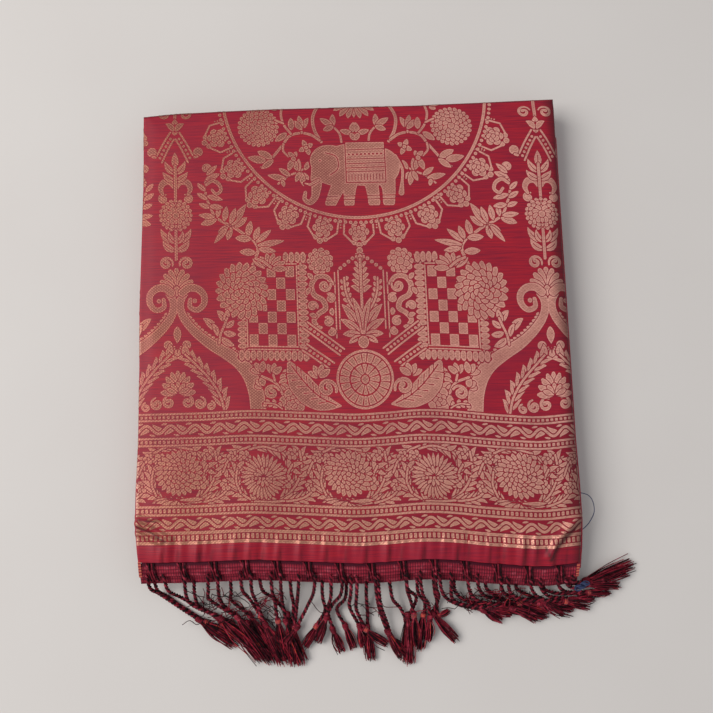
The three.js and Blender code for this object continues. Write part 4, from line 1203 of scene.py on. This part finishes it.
# The ends of the selvedges: at the front corners the woven edge of the cloth shows as a narrow strip in
# orange and pink thread, with small stitches across it. It lies on the side of the fold and on the heading.
SELVEDGE_WIDE = 1.9
selvedge_finish, tree = finish_of("orange_selvedge", Roughness=0.55)
stitch = waves(tree, 170.0, on_weave(tree), bands_direction="Y", Distortion=1.5)
stitch_colour = mix_colour(tree, share_of(tree, stitch, 0.35, 0.65), srgb(140, 26, 44), srgb(198, 98, 72))
coat(tree, Base_Color=stitch_colour)
bump(tree, stitch, 0.5, 0.0003)
for name, edge, inward, far_end, near_end in (
    ("selvedge_left", left_edge, 1, -154.0, -164.3), ("selvedge_right", right_edge, -1, -155.0, -163.6),
):
    y = np.linspace(near_end, far_end, 40)[:, None]
    x = edge(y) + inward * (0.5 + SELVEDGE_WIDE * np.linspace(0, 1, 6)[::inward])
    along_strip = weft(x, y)
    on_heading = TOP_Z + 1.05 - droop(along_strip)
    high = np.where(y < HEM, on_heading, np.maximum(on_heading, on_cloth(x, along_strip)[..., 2] + 0.25))
    strip = np.stack([x, along_strip, high + 0.1 * np.cos(y * 2.4)], -1)
    piece(name, strip, grid_faces(*x.shape), selvedge_finish, uv=(x, y))

# The fringe: the maroon warp ends are gathered in loops, twisted two and two into cords, knotted with a
# whipping of maroon or red thread, and left loose as tufts. The cords hang over the layers' edge and lie on
# the paper.
SEEN_FROM_X, SEEN_FROM_Y, SEEN_FROM_HIGH = 6.0, -88.0, 529.0
CORD_ROWS = [  # root x, then the knee, the knot and the tip of the tuft, as seen from above
    (-138, -129, -171, -103, -188, -80, -204), (-134, -125, -172, -98, -190, -86, -196),
    (-127, -114, -174, -92, -186, -72, -201), (-113, -110, -176, -88, -188, -66, -207),
    (-108, -104, -178, -82, -190, -64, -213), (-98, -97, -174, -78, -187, -60, -211),
    (-92, -88, -178, -72, -191, -58, -214), (-84, -82, -176, -70, -186, -54, -213),
    (-77, -70, -176, -63, -187, -50, -214), (-70, -66, -178, -60, -192, -46, -214),
    (-65, -55, -175, -46, -186, -42, -215), (-57, -54, -178, -52, -190, -48, -212),
    (-51, -49, -178, -47, -190, -36, -214), (-45, -42, -178, -43, -195, -44, -213),
    (-39, -40, -180, -42, -195, -39, -216), (-28, -33, -180, -40, -194, -50, -207),
    (-24, -22, -183, -28, -194, -35, -205), (-10, -17, -180, -21, -188, -27, -203),
    (-18, -20, -184, -17, -196, -12, -209), (-8, -14, -183, -9, -194, -4, -207),
    (-5, -6, -182, 0, -194, 3, -206), (-1, -2, -183, 4, -196, 17, -205),
    (5, 5, -182, 5, -195, 7, -214), (11, 14, -187, 18, -198, 26, -213),
    (12.5, 17, -190, 20, -201, 30, -212), (20, 27, -184, 30, -191, 31, -217),
    (30, 37, -177, 31, -188, 29, -215), (31, 33, -178, 35, -188, 36, -206),
    (38, 42, -180, 41, -188, 38, -208), (40, 45, -183, 45, -190, 44, -203),
    (50, 51, -178, 47, -187, 61, -203), (49, 50, -179, 50, -189, 57, -185),
    (52, 58, -179, 75, -183, 90, -192), (60, 60, -178, 80, -184, 97, -187),
    (62, 66, -178, 84, -181, 105, -186), (71, 73, -177, 92, -182, 113, -192),
    (77, 80, -176, 96, -179, 120, -188), (83, 84, -174, 100, -183, 117, -191),
    (92, 94, -176, 108, -180, 135, -187), (97, 99, -177, 113, -177, 130, -189),
    (103, 105, -175, 117, -182, 137, -184), (112, 115, -178, 127, -180, 146, -184),
    (118, 121, -177, 132, -180, 150, -179), (121, 124, -175, 138, -177, 154, -176),
    (129, 133, -175, 142, -176, 160, -175), (134, 139, -173, 145, -171, 166, -172),
    (137, 141, -170, 146, -168, 175, -158), (139, 143, -170, 148, -170, 171, -163),
]
PLY, TWIST = 0.72, 4.4  # radius of one ply, and the length of one turn of the two
KNOT_RADIUS, WHIPPING_RADIUS, WIND_STEP = 1.368, 0.72, 1.15
WIND_SHARES = (0.92, 1.08, 1.0, 0.8)  # how wide each wind of the whipping is
RED_KNOTS = (1, 4, 8, 11, 14, 16, 21, 27, 28, 31, 36, 41, 44)
MIDDLE_CORDS = (51, 133)  # the cords whose tufts are shorter, by their roots
SHORTENED = 0.72
FIBRES = 40


def settle(x, y, z):
    """Where a place seen in the plane of the top layer lies when it is at height z."""
    spread = 1 + (TOP_Z - z) / SEEN_FROM_HIGH
    return np.array([SEEN_FROM_X + (x - SEEN_FROM_X) * spread, SEEN_FROM_Y + (y - SEEN_FROM_Y) * spread, z])


def soft_path(points, step):
    """A soft curve through points in space, in even steps, and how far along it each of them is."""
    line = curve_of(np.asarray(points, float), 400)
    full = lengths_along(line)[-1]
    at = np.linspace(0, full, max(4, int(full / step)))
    return places_along(line, at), at


def round_frame(line):
    """Two directions square to each point's way along a line."""
    way = np.gradient(line, axis=0)
    way = way / np.linalg.norm(way, axis=1)[:, None]
    side = np.cross(way, (0.02, 0.01, 1.0))
    side = side / np.linalg.norm(side, axis=1)[:, None]
    return side, np.cross(side, way)


def about(side, top, angle):
    """The direction at an angle round two that are square to each other."""
    return side * np.cos(angle)[..., None] + top * np.sin(angle)[..., None]


class Strands:
    """Strands collected into one mesh."""

    def __init__(self):
        self.points, self.faces, self.count = [], [], 0

    def add(self, line, radius, sides=6):
        """A round strand along a line, ring by ring."""
        side, top = round_frame(line)
        ring = about(side[:, None], top[:, None], np.linspace(0, 2 * np.pi, sides, endpoint=False)[None])
        rings = line[:, None] + ring * np.broadcast_to(radius, len(line))[:, None, None]
        self.points.append(rings.reshape(-1, 3))
        self.faces.append(grid_faces(len(line), sides, self.count, closed=True))
        self.count += len(line) * sides

    def piece(self, name, finish):
        return piece(name, np.concatenate(self.points), np.concatenate(self.faces), finish)


rng = np.random.default_rng(7)
cords, dark_cords, knots, wraps, tufts, dark_tufts, bright_tufts = (Strands() for _ in range(7))
FIBRE_TURNS = (dark_tufts, tufts, dark_tufts, tufts, dark_tufts, bright_tufts, tufts)
for number, (root, knee_x, knee_y, knot_x, knot_y, tip_x, tip_y) in enumerate(CORD_ROWS):
    if MIDDLE_CORDS[0] < root < MIDDLE_CORDS[1]:
        knot_x, knot_y = tip_x + SHORTENED * (knot_x - tip_x), tip_y + SHORTENED * (knot_y - tip_y)
    lower = number % 3 == 1  # every third cord hangs from the lower heading
    over = 1.6 * (number % 2)  # and every other one lies over its neighbours
    edge_y = weft(root, HEM - HEM_GAP - HEADING - (LOWER_SHOW if lower else 0)) + 1.5
    top_z = (UNDER_Z if lower else TOP_Z + 0.3) - droop(edge_y) - 0.3
    knee_z, knot_z, tip_z = (3.3, 2.2, 1.5) if lower else (5.5 + over, 3.1 + over, 1.9 + 0.5 * over)
    knee = settle(knee_x, knee_y, knee_z)
    knot = settle(knot_x, knot_y, knot_z)
    tip = settle(tip_x, tip_y, tip_z)
    start = np.array([root, edge_y, top_z])
    hang = np.array([root + 0.25 * (knee[0] - root), edge_y + 0.62 * (knee[1] - edge_y), top_z - 3.6])
    line, run = soft_path([start, hang, knee, knot], 0.75)
    sag = 0.25 * np.sin(run / 5.3 + number) * smooth(run, 0, 8)
    line = line + np.stack([sag, -sag, 0 * sag], -1)
    line[:, 2] = np.maximum(line[:, 2], 2.1 * PLY)
    side, top = round_frame(line)
    turn = 2 * np.pi * run / TWIST + number
    # The plies' two tones are partly painted light: shaded and lit sides of the twist.
    for ply, half_turn in ((cords, 0), (dark_cords, np.pi)):
        ply.add(line + about(side, top, turn + half_turn) * PLY * 0.92, PLY)
    tuft_long = np.linalg.norm(tip - knot)
    way = (tip - knot) / tuft_long
    side = np.cross(way, (0, 0, 1.0))
    side = side / np.linalg.norm(side)
    top = np.cross(side, way)
    angle = np.linspace(0, 2 * np.pi, 14)
    for k, share in enumerate(WIND_SHARES):
        wind = knot + way * (k - 1.5) * WIND_STEP + about(side, top, angle) * KNOT_RADIUS * share
        wind = wind + way * (0.25 * np.sin(angle + number))[:, None]
        (wraps if k in (1, 2) and number in RED_KNOTS else knots).add(wind, WHIPPING_RADIUS)
    for n in range(FIBRES):
        fan = rng.uniform(-1, 1) + 0.5 * rng.normal()
        up = abs(rng.normal())
        length = 1.0 + 0.05 * rng.normal() - (0.3 * rng.uniform() if n % 5 == 0 else 0.0)
        fibre_root = knot + way * 1.4 + side * fan * 0.8 + top * (0.5 * up)
        end = knot + (tip - knot) * length + side * fan * (0.9 + 0.062 * tuft_long) + top * up * 0.9
        end[2] = max(end[2], 0.45)
        middle = (fibre_root + end) / 2 + side * fan * 0.7 + top * (0.5 + 0.7 * up)
        middle = middle + rng.normal(0, 0.5, 3) * (1, 1, 0.3)
        middle[2] = max(middle[2], 0.6)
        fibre, _ = soft_path([fibre_root, middle, end], 2.4)
        fibre[:, 2] = np.maximum(fibre[:, 2], 0.3)
        FIBRE_TURNS[n % 7].add(fibre, np.linspace(0.38, 0.27, len(fibre)), 3)

# Stray threads, pulled out of the cords, lie in a dark tangle over the thick groups at the left and at the
# right, and a few more lie here and there.
STRAY_GROUPS = (  # how many, the low and high corner of where they lie, and how far a thread reaches
    (70, (-108, -190), (-50, -172), 7.0), (60, (58, -184), (112, -174), 6.0),
    (10, (-40, -186), (50, -178), 6.0),
)
STRAY_TURNS = (dark_tufts, tufts, dark_tufts, dark_tufts, bright_tufts)
strays = [group for how_many, *group in STRAY_GROUPS for _ in range(how_many)]
for number, (low, high, reach) in enumerate(strays):
    middle_x, middle_y = rng.uniform(low, high)
    way = rng.uniform(0, 2 * np.pi)
    curve = [
        settle(middle_x + s * reach * math.cos(way) + rng.normal(0, 1.5),
               middle_y + 0.6 * s * reach * math.sin(way) + rng.normal(0, 1.5), rng.uniform(3.2, 6.4))
        for s in (-1, -0.3, 0.4, 1)
    ]
    STRAY_TURNS[number % 5].add(soft_path(curve, 1.4)[0], 0.3, 3)

# Loops of thread over the heading, from which each group of cords is drawn out. They are the same maroon
# thread as the cords, four to a group, and lie over the lower edge of the heading.
LOOPS, LOOP_PITCH, FIRST_LOOP, LOOP_RADIUS = 14, 20.4, -135.2, 0.62
LOOP_LEANS = ((-2.6, 1.4), (-1.2, 0.2), (0.8, 3.2), (2.4, 4.6))  # where each starts and ends, across
share = np.linspace(0, 1, 9)
for x in FIRST_LOOP + LOOP_PITCH * np.arange(LOOPS):
    y = np.linspace(weft(x, HEM - 0.4), weft(x, HEM - HEADING - 3.4), len(share))
    z = TOP_Z + 0.75 - droop(y) + 0.7 * np.sin(np.pi * share) - 1.2 * share**3
    for n, (lean_top, lean_end) in enumerate(LOOP_LEANS):
        across_loop = x + lean_top + (lean_end - lean_top) * share + 0.5 * np.sin(4 * share + n)
        loop, _ = soft_path(np.stack([across_loop, y, z], -1), 0.8)
        (dark_cords if n % 2 else cords).add(loop, LOOP_RADIUS)

maroon, _, _ = thread_finish("maroon_thread", srgb(72, 13, 26), srgb(132, 27, 45), srgb(178, 60, 78))
dark_maroon, _, _ = thread_finish("dark_thread", srgb(18, 4, 8), srgb(42, 8, 15), srgb(100, 24, 42))
bright_maroon, _, _ = thread_finish("bright_thread", srgb(120, 20, 44), srgb(176, 42, 60), srgb(206, 74, 46))
red_thread, tree = finish_of("red_thread", Roughness=0.6, Sheen_Weight=0.3)
specks = share_of(tree, noise(tree, 320.0, 2.0), 0.42, 0.6)
coat(tree, Base_Color=mix_colour(tree, specks, srgb(124, 24, 34), srgb(190, 58, 44)))
fringe_pieces = [
    cords.piece("fringe_cords", maroon),
    dark_cords.piece("fringe_dark_plies", dark_maroon),
    dark_tufts.piece("fringe_dark_tufts", dark_maroon),
    knots.piece("fringe_knots", maroon),
    wraps.piece("fringe_wraps", red_thread),
    tufts.piece("fringe_tufts", maroon),
    bright_tufts.piece("fringe_bright_tufts", bright_maroon),
]

# A loose end of blue thread lies in a loop past the right fold, and more of it is tied in a knot on the last
# cord. It is thin smooth thread, and its ends go in between the layers.
LOOSE_END = (
    (146.4, -112.9, 18.6), (151.0, -114.9, 14.4), (153.4, -119.4, 10.6), (153.6, -125.2, 9.4),
    (151.0, -130.4, 11.0), (147.6, -134.4, 14.6),
)
OUT_OF_FOLD, BACK_IN = (143.0, -112.2, 20.6), (144.2, -138.0, 18.4)
blue_thread, tree = finish_of("blue_thread", Roughness=0.6)
coat(tree, Base_Color=mix_colour(tree, noise(tree, 900.0, 2.0), srgb(26, 33, 66), srgb(56, 72, 116)))
blue = Strands()
blue.add(soft_path([OUT_OF_FOLD, *(settle(*place) for place in LOOSE_END), BACK_IN], 0.7)[0], 0.28)
BLUE_KNOT = settle(143.2, -171.4, 8.6)
for k in range(7):
    angle = np.linspace(0, 2 * np.pi, 16) + k
    lean = 0.9 * k
    ring = [2.1 * np.cos(angle), 1.8 * np.sin(angle) * math.cos(lean), 1.5 * np.sin(angle) * math.sin(lean)]
    blue.add(BLUE_KNOT + (0.9 * (k - 3), 0.5 * (k - 3), 0) + np.stack(ring, -1), 0.45)
fringe_pieces.append(blue.piece("blue_thread", blue_thread))

# The box of the finished model, kept beside that of the solids.
made_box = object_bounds()
[[list(map(float, corner)) for corner in box] for box in (cad_box, made_box)]
